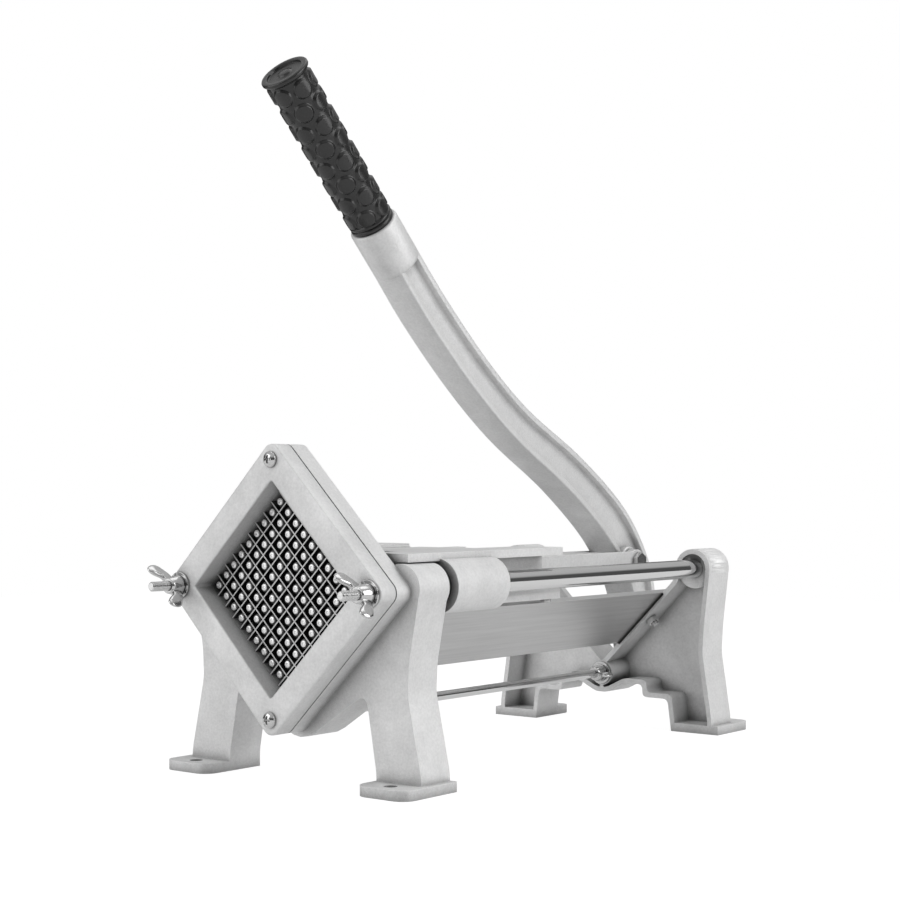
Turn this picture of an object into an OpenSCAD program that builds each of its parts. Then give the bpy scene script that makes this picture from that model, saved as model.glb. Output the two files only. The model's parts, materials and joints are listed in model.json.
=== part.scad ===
// Lever-operated french fry cutter.
// A square blade grid stands on its corner in front of a V trough. A carriage on two
// guide rods pushes the potato through the grid, and a long hand lever draws it.
// X points to the viewer's right, Y from the blades back to the lever, Z up. The origin
// lies on the table, midway between the four foot holes.

/* [Cutting head] */
// Side of the square opening that the potato passes through
opening_w = 90; // [84:1:94]
// Cells along each side of the opening
cells = 10; // [8:1:10]
// Height of the opening's centre above the table
axis_h = 114; // [112:1:124]
// Width of the frame around the opening
frame_border = 17; // [15:0.5:19]
// Thickness of the blade frame
frame_t = 13.5; // [12:0.5:15]
// Thickness of one blade
blade_t = 0.8; // [0.5:0.1:1]
// Depth of one blade along the cut
blade_w = 4.4; // [3:0.2:5]

/* [Front casting] */
// Thickness of the square flange behind the blade frame
flange_t = 12.5; // [12:0.5:16]
// Depth of the legs and of the V seat behind the flange
seat_d = 26; // [22:1:30]
// Length of the shoulder bosses behind the legs
shoulder_l = 1; // [0.6:0.2:1.6]

/* [Rear casting] */
// From the front face of the blade frame to the front edge of the rear casting
body_l = 348; // [330:1:380]
// Depth of the rear casting's rim
rim_d = 27; // [24:1:28]
// Thickness of the rear casting's rim
rim_t = 3.5; // [3:0.25:5]
// Thickness of the rear casting's web
web_t = 6; // [5:0.5:8]

/* [Feet] */
// Distance of each foot hole from the middle plane
foot_x = 78; // [76:1:82]
// Width of a foot
foot_w = 38; // [32:1:40]
// Thickness of a foot
foot_t = 6; // [5:0.5:8]
// Length of a foot beyond its leg
foot_out = 20; // [16:1:24]
// Diameter of the foot holes
foot_hole_d = 8; // [6:0.5:9]

/* [Guide rods] */
// Distance of each rod from the middle plane
rod_x = 77; // [76:0.5:80]
// Diameter of a guide rod
rod_d = 13; // [11:0.5:14]
// Height of the rods above the opening's centre
rod_rise = 2; // [0:0.5:4]
// Radius of the round shoulders that hold the rods
shoulder_r = 14; // [12:0.5:15]

/* [Trough] */
// Thickness of a trough panel
panel_t = 3; // [2:0.25:4]
// Distance of a panel's lower edge from the middle plane
panel_in = 12; // [9:0.5:14]
// Drop of a panel's upper edge below the opening's centre
panel_drop = 13.6; // [12.8:0.2:16]

/* [Tie rod] */
// Diameter of the tie rod under the trough
tie_d = 6; // [5:0.5:7]
// Drop of the tie rod below the opening's lower corner
tie_drop = 12.4; // [11.4:0.2:13.4]

/* [Carriage] */
// From the legs back to the sleeves with the cutter closed
sleeve_gap = 7; // [6:0.5:12]
// Length of a sleeve
sleeve_l = 50; // [44:1:56]
// Radius of a sleeve
sleeve_r = 16; // [15:0.5:17]
// Thickness of the pusher plate
pusher_t = 9; // [8:0.5:10]
// Diameter of a pusher finger
pin_d = 6.4; // [6:0.2:7]
// Diameter of the steel tip on each finger
tip_d = 4.4; // [4:0.2:5.4]
// How far the tips stay behind the front edges of the blades
pin_setback = 0.4; // [0.2:0.2:4]
// From the front ends of the sleeves back to the drawbar's hinge
hinge_back = 83; // [80:1:92]
// Length of the arms behind the sleeves
arm_l = 75; // [60:1:84]

/* [Lever] */
// Height of the lever's pivot
pivot_z = 36.5; // [35:0.5:39]
// Distance of the pivot behind the rear casting
pivot_back = 21; // [20:0.5:24]
// How far the lever reaches forward of its pivot
lever_reach = 284; // [270:1:300]
// How high the lever rises above its pivot
lever_rise = 280.5; // [270:0.5:300]
// Depth of the lever, front to back
lever_depth = 26; // [24:1:28]
// Width of the lever's flanges
lever_w = 25; // [22:0.5:26]
// Thickness of the lever's flanges
lever_flange_t = 5; // [4:0.5:6]
// Thickness of the lever's web
lever_web_t = 13; // [11:0.5:15]
// Diameter of the collar at the top
collar_d = 32; // [30:1:36]
// Length of the collar
collar_l = 30; // [26:1:34]
// Length of the grip
grip_l = 110; // [100:1:125]
// Diameter of the grip
grip_d = 28; // [26:1:30]
// Lean of the grip from upright
grip_lean = 45; // [40:1:50]
// Diameter of the lever's pivot bolt
pivot_d = 12; // [10:0.5:13]

/* [Drawbar] */
// Height of the drawbar bolts above the pivot
draw_rise = 82.5; // [79:0.5:86]
// Distance of the drawbar bolts in front of the pivot
draw_lead = 29; // [26:1:34]
// Thickness of a drawbar side
draw_t = 6; // [5:0.5:7]
// Height of a drawbar side
draw_h = 15; // [13:0.5:16]
// Diameter of the drawbar's pin and bolts
draw_pin_d = 8; // [7:0.5:9]

/* [Hidden] */

$fn = 48;
// Facets of small round parts
small_fn = 24;
// Facets of the many pins
pin_fn = 16;

// How far a cut runs past the face that it opens
over = 1;
// Radial clearance of a running fit
run_gap = 0.05;
// Clearance between parts that pass each other
pass_gap = 0.6;
// Clearance of a part that lies in a slot or hole
fit_gap = 0.1;

// Cutting head
pitch = opening_w / cells;
half_open = opening_w / sqrt(2);
frame_side = opening_w + 2 * frame_border;
half_frame = frame_side / sqrt(2);
corner_r = 7;
plate_corner_r = 3;
blade_grip = 3;
// Corner fasteners sit in the middle of the frame's corners
corner_out = (half_open + half_frame) / 2;
stud_d = 6;
stud_out = 24;
stud_floor = 3;
washer_t = 1.6;
washer_r = 8;
screw_head_d = 9.5;
screw_rim_t = 1.6;
screw_dome_t = 2;
screw_top_d = 5.6;
screw_d = 4;
screw_l = 20;
recess_w = 1.4;
recess_l = 4.6;
recess_d = 1.6;

// Wing nuts
wing_hub_r = 6;
wing_top_r = 4.6;
wing_hub_l = 9;
wing_span = 34;
wing_root = 2;
wing_t = 3;
wing_tip_r = 5;
wing_tip_z = 11;

// Places along the body, from the front face backwards
flange_y = frame_t;
// The blades lie in grooves of the flange, and the frame clamps them from the front
blade_y = flange_y + fit_gap;
tip_y = blade_y + pin_setback;
seat_y = flange_y + flange_t;
shoulder_y = seat_y + seat_d;
boss_end_y = shoulder_y + shoulder_l;
sleeve_y = shoulder_y + sleeve_gap;
rear_y = body_l + rim_d;
web_y = rear_y - web_t;
front_foot_y = seat_y - foot_out / 2;
rear_foot_y = rear_y + foot_out / 2;
// The origin is midway between the foot holes
mid_y = (front_foot_y + rear_foot_y) / 2;

// Heights where the V lines cross the middle plane
v_inner = axis_h - half_open;
v_outer = axis_h - half_frame;
v_panel = v_inner - panel_t * sqrt(2);
rod_z = axis_h + rod_rise;
tie_z = v_inner - tie_drop;

// Legs
leg_in = foot_x - foot_w / 2;
toe_inset = 5;
leg_out = foot_x + foot_w / 2 - toe_inset;
waist_step = 6;
waist_out = rod_x + waist_step;
waist_tuck = 1;
waist_in = waist_out - waist_tuck;
waist_top_z = 74;
waist_z = 56;
heel_z = 10;
foot_r = 9;
// How far the castings' corners are rounded, and the wider arch under the V
cast_r = 4;
arch_r = 9;
// The seat's lower edge rises from the middle to the legs
seat_drop = 4.5;
seat_z = v_outer - seat_drop;
seat_bottom_r = 14;
seat_rise_share = 0.655;
knee_step = 8;
knee_x = leg_in - knee_step;
knee_z = seat_z + knee_x * seat_rise_share;
// How far the legs run into the walls of the V
wall_bite = 4;
// Inner face of a leg where it carries the round shoulder
shoulder_in = rod_x - shoulder_r + wall_bite / 2;

// Rear casting
leg_splay = 3;
rear_waist_step = 9;
rear_waist_out = rod_x + rear_waist_step;
rear_waist_in = rear_waist_out - waist_tuck;
step_x = 35;
step_z = 22.5;
notch_x = 20;
notch_z = 31.5;
keel_x = 5;
keel_z = 24;
keel_r = 3;
keel_t = 3;
notch_gap = 1;
notch_top_x = rod_x - shoulder_r - notch_gap;
arc_steps = 12;
socket_set = 3;
tie_boss_front_r = 9;
tie_boss_back_r = 12;
cheek_t = 8;
cheek_r = 11;
cheek_drop = 1;

// Panels
panel_out = half_open - panel_drop;
panel_seat_l = 14;
panel_end_gap = 0.4;
panel_land = 16;
slot_h = 1.6;
slot_l = 6;
panel_screw_x = 33;
panel_screw_d = 5;
panel_head_d = 9;
panel_nut_d = 9;
panel_nut_t = 4;
panel_screw_l = 13;

// Rod ends
rod_start = 2;
rod_bolt_d = 8;
rod_bolt_l = 18;
rod_bolt_head_d = 15;
rod_bolt_head_t = 5;
bumper_r = 11;
bumper_gap = 0.6;
bumper_t = sleeve_gap - shoulder_l - bumper_gap;

// Carriage
plate_t = 5;
plate_z = rod_z + shoulder_r + pass_gap;
plate_top = plate_z + plate_t;
sleeve_end_y = sleeve_y + sleeve_l;
pusher_gap = 2.6;
pusher_step = 1;
half_pusher = half_open - pusher_gap;
pusher_y = shoulder_y - pusher_t - pusher_step;
pusher_back_y = pusher_y + pusher_t;
pin_shank_d = 3;
pin_shank_l = 6;
tip_t = 1;
tip_shank_d = 2;
tip_shank_l = 4;
backing_t = 8;
half_backing = 40;
hub_x = 32;
beam_t = 12;
ear_side_gap = 3;
ear_in = half_pusher - (plate_z - axis_h) + ear_side_gap;
ear_past_rod = 2;
ear_out = rod_x + ear_past_rod;
ear_gap = 4;
hinge_y = sleeve_y + hinge_back;
bush_t = 1.5;
bush_l = 14;
pusher_screw_d = 5;
pusher_screw_out = 24;
pusher_screw_head_d = 9;
pusher_screw_head_t = 4;
// The shoes run just above the panels and beside the sleeves
shoe_gap = 1.2;
shoe_t = 4;
shoe_z = panel_out + v_inner + shoe_gap;
shoe_top = shoe_z + shoe_t;
shoe_w = 12;
shoe_under_sleeve = 2;
shoe_out = rod_x - sleeve_r + shoe_under_sleeve;
shoe_in = shoe_out - shoe_w;
flank_step = 3;
flank_bite = 8;
flank_in = shoe_in + flank_step;
flank_out = shoe_out + flank_bite;
beam_bottom = shoe_top;
shoe_tail = 20;
arm_end_y = sleeve_end_y + arm_l;
shoe_end_y = arm_end_y + shoe_tail;
shoe_screw_d = 4;
shoe_screw_back = 8;
shoe_screw_ys = [sleeve_y + shoe_screw_back, shoe_end_y - shoe_screw_back];
shoe_head_d = 7;
shoe_head_t = 2;
flank_t = 7;

// Lever, its pivot and the drawbar
pivot_y = rear_y + pivot_back;
pivot_boss_r = 11;
pivot_bush_t = 2;
pivot_head_d = 20;
pivot_head_t = 7;
cheek_in = lever_w / 2 + pass_gap;
cheek_out = cheek_in + cheek_t;
bolt_y = pivot_y - draw_lead;
bolt_z = pivot_z + draw_rise;
bolt_boss_r = 11;
draw_in = lever_w / 2 + pass_gap;
draw_out = draw_in + draw_t;
draw_eye_r = 9;
plate_end_y = hinge_y - draw_eye_r;
draw_head_d = 14;
draw_head_t = 4;
draw_web_t = 5;
front_web_start = 16;
front_web_l = 18;
rear_web_lead = 78;
rear_web_l = 40;
clevis_in = draw_out + pass_gap;
clevis_t = 7;
clevis_out = clevis_in + clevis_t;
clip_r = 6;
clip_t = 1.5;
clip_gap = 0.3;
pin_end = 2;
// The drawbar lies level with the cutter closed
hinge_z = bolt_z;
core_d = 16;
core_sunk = 22;
collar_back = 4;
grip_cap_t = 4;
cap_lip = 1.5;

// The lever's middle line from the pivot up, as shares of its reach and rise
lever_shares = [
    [0, 0], [0.01, 0.106], [0.032, 0.223], [0.088, 0.318], [0.183, 0.413],
    [0.356, 0.527], [0.570, 0.640], [0.732, 0.753], [0.891, 0.890], [1, 1]
];
// The lever's depth along that line, as shares of lever_depth
depth_shares = [0.8, 0.98, 1.1, 1.18, 1.16, 1.06, 0.96, 0.96, 1.02, 1.08];
// Steps drawn between two neighbouring points
curve_steps = 5;
// Steps drawn round a corner of a casting
round_steps = 4;

// Curves and outlines

function spline(a, b, c, d, t) =
    0.5 * (2 * b + (c - a) * t + (2 * a - 5 * b + 4 * c - d) * t * t
    + (3 * b - a - 3 * c + d) * t * t * t);
function pick(list, i) = list[min(max(i, 0), len(list) - 1)];
function smooth(list) = [
    for (i = [0 : len(list) - 2], s = [0 : curve_steps - 1])
        spline(pick(list, i - 1), list[i], list[i + 1], pick(list, i + 2), s / curve_steps),
    list[len(list) - 1]
];
lever_line = [
    for (p = smooth(lever_shares)) [pivot_y - p[0] * lever_reach, pivot_z + p[1] * lever_rise]
];
lever_depths = [for (s = smooth(depth_shares)) s * lever_depth];
lever_top = lever_line[len(lever_line) - 1];
function along(i) =
    let (d = pick(lever_line, i + 1) - pick(lever_line, i - 1)) d / norm(d);
// The line's own points moved sideways; side is 1 in front and -1 behind
function beside(side, inset) = [
    for (i = [0 : len(lever_line) - 1])
        lever_line[i] + side * (lever_depths[i] / 2 - inset) * [-along(i)[1], along(i)[0]]
];
function turned(list) = [for (i = [len(list) - 1 : -1 : 0]) list[i]];
function mirrored(list) = [for (p = turned(list)) [-p[0], p[1], p[2]]];
function arc(x, z, r, start, end) = [
    for (i = [0 : arc_steps])
        let (a = start + (end - start) * i / arc_steps) [x + r * cos(a), z + r * sin(a), 0]
];
function edge_dir(p, q) = (q - p) / norm(q - p);
function left_of(d) = [-d[1], d[0]];
// A closed outline of [x, z, r] points moved inwards by d, with mitred corners
function inset(list, d) = [
    for (i = [0 : len(list) - 1])
        let (
            n = len(list),
            p = flat(list[i]),
            a = left_of(edge_dir(flat(list[(i + n - 1) % n]), p)),
            b = left_of(edge_dir(p, flat(list[(i + 1) % n]))),
            moved = p + d * (a + b) / (1 + a * b)
        ) [moved[0], moved[1], list[i][2]]
];
// A closed outline of [x, z, r] points, each corner rounded over a reach of r
function rounded(list) = [
    for (i = [0 : len(list) - 1])
        let (
            n = len(list),
            p = flat(list[i]),
            r = list[i][2],
            a = p + r * edge_dir(p, flat(list[(i + n - 1) % n])),
            b = p + r * edge_dir(p, flat(list[(i + 1) % n]))
        )
        for (s = r > 0 ? [0 : round_steps] : [0]) bent(a, p, b, s / round_steps)
];
function flat(p) = [p[0], p[1]];
function bent(a, p, b, t) = (1 - t) * (1 - t) * a + 2 * t * (1 - t) * p + t * t * b;

// Placing

// Moves places measured from the front face into the part's frame
module placed() { translate([0, -mid_y, 0]) children(); }
// Extrudes an X-Z outline backwards from y
module slab(y, depth) {
    translate([0, y + depth, 0]) rotate([90, 0, 0]) linear_extrude(depth) children();
}
// Extrudes a Y-Z outline to the right from x
module sheet(x, depth) {
    translate([x, 0, 0]) rotate([90, 0, 90]) linear_extrude(depth) children();
}
module round_y(x, y, z, d, l, fn = $fn) {
    translate([x, y, z]) rotate([-90, 0, 0]) cylinder(d = d, h = l, $fn = fn);
}
module round_x(x, y, z, d, l, fn = $fn) {
    translate([x, y, z]) rotate([0, 90, 0]) cylinder(d = d, h = l, $fn = fn);
}
module both_sides() { children(); mirror([1, 0, 0]) children(); }
module box(x, y, z) {
    translate([x[0], y[0], z[0]]) cube([x[1] - x[0], y[1] - y[0], z[1] - z[0]]);
}
// A square outline on its corner, around the opening's centre
module diamond(side, r = 0) {
    translate([0, axis_h]) rotate(45) {
        square([side - 2 * r, side], center = true);
        square([side, side - 2 * r], center = true);
        if (r > 0) for (x = [-1, 1], z = [-1, 1]) translate([x, z] * (side / 2 - r)) circle(r);
    }
}
// Stands children on the right-hand wall of the V, their Z axis square to it
module on_wall(x, y) {
    translate([x, y, x + v_inner]) rotate([0, -45, 0]) children();
}

// Small parts

module pan_screw() {
    rotate([90, 0, 0]) difference() {
        union() {
            cylinder(d = screw_head_d, h = screw_rim_t, $fn = small_fn);
            translate([0, 0, screw_rim_t])
                cylinder(d1 = screw_head_d, d2 = screw_top_d, h = screw_dome_t, $fn = small_fn);
        }
        for (a = [0, 90]) rotate(a)
            translate([-recess_l / 2, -recess_w / 2, screw_rim_t + screw_dome_t - recess_d])
                cube([recess_l, recess_w, recess_d + over]);
    }
    rotate([-90, 0, 0]) cylinder(d = screw_d, h = screw_l, $fn = small_fn);
}
// Wing nut with its seat at the origin, opening towards -Y
module wing_nut(bore) {
    rotate([90, 0, 0]) difference() {
        union() {
            cylinder(r1 = wing_hub_r, r2 = wing_top_r, h = wing_hub_l);
            both_sides() translate([0, wing_t / 2, 0]) rotate([90, 0, 0]) {
                linear_extrude(wing_t) polygon([
                    [0, wing_root], [wing_hub_r, wing_root],
                    [wing_span / 2 - wing_root, wing_tip_z - wing_tip_r / 2],
                    [wing_span / 2 - 2 * wing_tip_r, wing_tip_z + wing_root],
                    [wing_top_r, wing_hub_l], [0, wing_hub_l]
                ]);
                translate([wing_span / 2 - wing_tip_r, wing_tip_z, 0])
                    cylinder(r = wing_tip_r, h = wing_t, $fn = small_fn);
            }
        }
        translate([0, 0, -over]) cylinder(d = bore, h = wing_hub_l + 2 * over);
    }
}

// Cutting head

// A set of blades, or with gap the slots for them, open towards the front by lead
module blade_row(y, lean, gap, w = blade_w, lead = 0) {
    for (i = [1 : cells - 1])
        translate([0, y - gap - lead, axis_h]) rotate([0, lean, 0])
            translate([(i - cells / 2) * pitch - blade_t / 2 - gap, 0,
                       -opening_w / 2 - blade_grip - gap])
                cube([blade_t + 2 * gap, w + 2 * gap + lead,
                      opening_w + 2 * (blade_grip + gap)]);
}
module blade_frame() {
    color([0.78, 0.78, 0.77]) placed() difference() {
        slab(0, frame_t) diamond(frame_side, corner_r);
        slab(-over, frame_t + 2 * over) diamond(opening_w);
        for (x = [-1, 1])
            round_y(x * corner_out, -over, axis_h, stud_d + 2 * fit_gap, frame_t + 2 * over,
                    small_fn);
        for (z = [-1, 1])
            round_y(0, -over, axis_h + z * corner_out, screw_d + 2 * fit_gap,
                    frame_t + 2 * over, small_fn);
    }
}
// The sets are slotted half and half into each other
module blades_rising() {
    color([0.9, 0.9, 0.9]) placed() difference() {
        blade_row(blade_y, 45, 0);
        blade_row(blade_y, -45, fit_gap, blade_w / 2, over);
    }
}
module blades_falling() {
    color([0.9, 0.9, 0.9]) placed() difference() {
        blade_row(blade_y, -45, 0);
        blade_row(blade_y + blade_w / 2, 45, fit_gap, blade_w / 2 + over);
    }
}
module frame_screws() {
    color([0.85, 0.85, 0.85]) placed()
        for (z = [-1, 1]) translate([0, 0, axis_h + z * corner_out]) pan_screw();
}
module frame_studs() {
    color([0.85, 0.85, 0.85]) placed() for (x = [-1, 1])
        round_y(x * corner_out, -stud_out, axis_h, stud_d,
                stud_out + seat_y - stud_floor, small_fn);
}
// A washer in front of y
module washer(x, y, z, bore) {
    difference() {
        round_y(x, y - washer_t, z, 2 * washer_r, washer_t);
        round_y(x, y - washer_t - over, z, bore + 2 * fit_gap, washer_t + 2 * over);
    }
}
module stud_washers() {
    color([0.85, 0.85, 0.85]) placed()
        for (x = [-1, 1]) washer(x * corner_out, 0, axis_h, stud_d);
}
module stud_wing_nut(x) {
    color([0.85, 0.85, 0.85]) placed() translate([x, -washer_t, axis_h])
        rotate([0, 45, 0]) wing_nut(stud_d + 2 * run_gap);
}
module wing_nut_left() { stud_wing_nut(-corner_out); }
module wing_nut_right() { stud_wing_nut(corner_out); }

// Castings

front_right = [
    [knee_x, knee_z, arch_r], [leg_in, heel_z, cast_r], [leg_in, 0, 0], [leg_out, 0, 0],
    [leg_out, heel_z, cast_r], [waist_in, waist_z, cast_r], [waist_out, waist_top_z, cast_r],
    [rod_x + shoulder_r, rod_z, 0], [shoulder_in, rod_z, 0],
    [shoulder_in, shoulder_in + v_outer + wall_bite, 0]
];
front_outline = concat(
    [[0, seat_z, seat_bottom_r]], front_right, [[0, v_outer + wall_bite, 0]],
    mirrored(front_right)
);
rear_right = concat(
    [
        [keel_x, keel_z, keel_r], [notch_x, notch_z, cast_r], [step_x, notch_z, cast_r],
        [step_x, step_z, cast_r], [leg_in - leg_splay, step_z, cast_r], [leg_in, 0, 0],
        [leg_out, 0, 0], [leg_out, heel_z, cast_r], [rear_waist_in, waist_z, cast_r],
        [rear_waist_out, waist_top_z, cast_r]
    ],
    arc(rod_x, rod_z, shoulder_r, 0, 180),
    [[notch_top_x, notch_top_x + v_panel, cast_r]]
);
rear_outline = concat(rear_right, [[0, v_panel, 0]], mirrored(rear_right));

// A foot behind y, or in front of it with back = false
module foot(y, leg_d, back) {
    translate([foot_x, y, 0]) mirror([0, back ? 0 : 1, 0]) linear_extrude(foot_t) difference() {
        union() {
            translate([-foot_w / 2, -leg_d]) square([foot_w, leg_d + foot_out - foot_r]);
            translate([-foot_w / 2 + foot_r, 0]) square([foot_w - 2 * foot_r, foot_out]);
            for (x = [-1, 1]) translate([x * (foot_w / 2 - foot_r), foot_out - foot_r])
                circle(foot_r);
        }
        translate([0, foot_out / 2]) circle(d = foot_hole_d);
    }
}
module front_casting() {
    color([0.76, 0.76, 0.75]) placed() difference() {
        union() {
            slab(flange_y, flange_t) diamond(frame_side, corner_r);
            slab(seat_y, seat_d) {
                intersection() {
                    diamond(frame_side, corner_r);
                    translate([-half_frame, 0]) square([2 * half_frame, axis_h]);
                }
                polygon(rounded(front_outline));
            }
            both_sides() {
                round_y(rod_x, seat_y, rod_z, 2 * shoulder_r, seat_d + shoulder_l);
                foot(seat_y, seat_d, false);
            }
        }
        slab(flange_y - over, shoulder_y - flange_y + 2 * over) diamond(opening_w);
        for (lean = [-45, 45]) blade_row(blade_y, lean, fit_gap, blade_w, over);
        // The panels lie in a step in the walls of the V
        slab(shoulder_y - panel_seat_l, panel_seat_l + over)
            diamond(opening_w + 2 * panel_t + fit_gap);
        both_sides() {
            round_y(rod_x, seat_y + rod_start, rod_z, rod_d + fit_gap,
                    seat_d + shoulder_l + over);
            round_y(corner_out, flange_y - over, axis_h, stud_d + 2 * fit_gap,
                    flange_t - stud_floor + 2 * over, small_fn);
            on_wall(panel_screw_x, shoulder_y - panel_seat_l / 2)
                translate([0, 0, -panel_t - panel_screw_l])
                    cylinder(d = panel_screw_d + 2 * fit_gap, h = panel_screw_l + panel_t,
                             $fn = small_fn);
        }
        for (z = [-1, 1])
            round_y(0, flange_y - over, axis_h + z * corner_out, screw_d + 2 * fit_gap,
                    screw_l - frame_t + 2 * over, small_fn);
        round_y(0, shoulder_y - seat_d / 2, tie_z, tie_d + fit_gap, seat_d, small_fn);
    }
}
module rear_casting() {
    color([0.74, 0.74, 0.73]) placed() difference() {
        union() {
            difference() {
                slab(body_l, rim_d) polygon(rounded(rear_outline));
                slab(body_l - over, rim_d - web_t + over)
                    polygon(rounded(inset(rear_outline, rim_t)));
            }
            both_sides() {
                round_y(rod_x, body_l + socket_set, rod_z, 2 * shoulder_r, rim_d - socket_set);
                foot(rear_y, rim_d, true);
                // Cheeks that carry the lever's pivot
                sheet(cheek_in, cheek_t) {
                    polygon([
                        [web_y, notch_z + cheek_drop], [pivot_y, pivot_z - cheek_r],
                        [pivot_y, pivot_z + cheek_r], [web_y, pivot_z + cheek_r]
                    ]);
                    translate([pivot_y, pivot_z]) circle(cheek_r);
                }
            }
            // The tie rod's boss and the rib that it stands on
            translate([0, body_l, tie_z]) rotate([-90, 0, 0])
                cylinder(r1 = tie_boss_front_r, r2 = tie_boss_back_r, h = rim_d);
            box([-keel_t / 2, keel_t / 2], [body_l, web_y + over], [keel_z, tie_z]);
        }
        // A slot that parts the panels' front undersides from the V
        both_sides() slab(body_l - over, slot_l + over)
            polygon(panel_strip(0, panel_t + slot_h));
        both_sides() {
            round_y(rod_x, body_l - over, rod_z, rod_d + fit_gap, rim_d - web_t + over);
            round_y(rod_x, body_l, rod_z, rod_bolt_d + 2 * fit_gap, rim_d + over);
            on_wall(panel_screw_x, body_l + panel_land / 2)
                translate([0, 0, -panel_screw_l])
                    cylinder(d = panel_screw_d + 2 * fit_gap, h = panel_screw_l,
                             $fn = small_fn);
        }
        round_y(0, body_l - over, tie_z, tie_d + 2 * fit_gap, rim_d + 2 * over, small_fn);
        round_x(-cheek_out - over, pivot_y, pivot_z, pivot_d + 2 * run_gap,
                2 * (cheek_out + over));
    }
}

// Rods and their fasteners

module guide_rod(x) {
    color([0.8, 0.8, 0.82]) placed() difference() {
        round_y(x, seat_y + rod_start, rod_z, rod_d, web_y - seat_y - rod_start);
        round_y(x, rear_y - rod_bolt_l - over, rod_z, rod_bolt_d + 2 * fit_gap,
                rod_bolt_l + over);
    }
}
module guide_rod_left() { guide_rod(-rod_x); }
module guide_rod_right() { guide_rod(rod_x); }
module rod_end_bolts() {
    color([0.8, 0.8, 0.8]) placed() both_sides() {
        round_y(rod_x, rear_y - rod_bolt_l, rod_z, rod_bolt_d, rod_bolt_l, small_fn);
        round_y(rod_x, rear_y, rod_z, rod_bolt_head_d, rod_bolt_head_t, 6);
    }
}
module bumper_rings() {
    color([0.12, 0.12, 0.12]) placed() both_sides() difference() {
        round_y(rod_x, boss_end_y, rod_z, 2 * bumper_r, bumper_t);
        round_y(rod_x, boss_end_y - over, rod_z, rod_d + 2 * fit_gap, bumper_t + 2 * over);
    }
}
module tie_rod() {
    color([0.8, 0.8, 0.82]) placed()
        round_y(0, shoulder_y - seat_d / 2, tie_z, tie_d, rear_y - shoulder_y + seat_d / 2,
                small_fn);
}
module tie_washer() { color([0.85, 0.85, 0.85]) placed() washer(0, body_l, tie_z, tie_d); }
module tie_wing_nut() {
    color([0.85, 0.85, 0.85]) placed() translate([0, body_l - washer_t, tie_z])
        wing_nut(tie_d + 2 * run_gap);
}

// Trough

panel_y = shoulder_y - panel_seat_l + panel_end_gap;
// A strip along the right-hand panel's profile, between two depths below its inner face
function panel_strip(top, bottom) = [
    for (p = [[panel_in, top], [panel_out, top], [panel_out, bottom], [panel_in, bottom]])
        [p[0], p[0] + v_inner] + [1, -1] * p[1] / sqrt(2)
];
module trough_panel_right() {
    color([0.72, 0.72, 0.71]) placed() difference() {
        slab(panel_y, body_l + panel_land - panel_y) polygon(panel_strip(0, panel_t));
        for (y = [shoulder_y - panel_seat_l / 2, body_l + panel_land / 2])
            on_wall(panel_screw_x, y) {
                translate([0, 0, -panel_t - over])
                    cylinder(d = panel_screw_d + 2 * fit_gap, h = panel_t + 2 * over,
                             $fn = small_fn);
                translate([0, 0, -panel_head_t])
                    cylinder(d1 = panel_screw_d + 2 * fit_gap, d2 = panel_head_d + 2 * fit_gap,
                             h = panel_head_t, $fn = small_fn);
            }
    }
}
module trough_panel_left() { mirror([1, 0, 0]) trough_panel_right(); }
// Countersunk heads that lie flush with the panels
panel_head_t = (panel_head_d - panel_screw_d) / 2;
module panel_screws() {
    color([0.85, 0.85, 0.85]) placed() both_sides()
        for (y = [shoulder_y - panel_seat_l / 2, body_l + panel_land / 2])
            on_wall(panel_screw_x, y) {
                translate([0, 0, -panel_head_t])
                    cylinder(d1 = panel_screw_d, d2 = panel_head_d, h = panel_head_t,
                             $fn = small_fn);
                translate([0, 0, -panel_screw_l])
                    cylinder(d = panel_screw_d, h = panel_screw_l - panel_head_t,
                             $fn = small_fn);
            }
}
module panel_nuts() {
    color([0.8, 0.8, 0.8]) placed() both_sides()
        on_wall(panel_screw_x, body_l + panel_land / 2)
            translate([0, 0, -panel_t - rim_t - panel_nut_t]) difference() {
                cylinder(d = panel_nut_d, h = panel_nut_t, $fn = 6);
                translate([0, 0, -over])
                    cylinder(d = panel_screw_d + 2 * fit_gap, h = panel_nut_t + 2 * over,
                             $fn = small_fn);
            }
}

// Carriage

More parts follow.
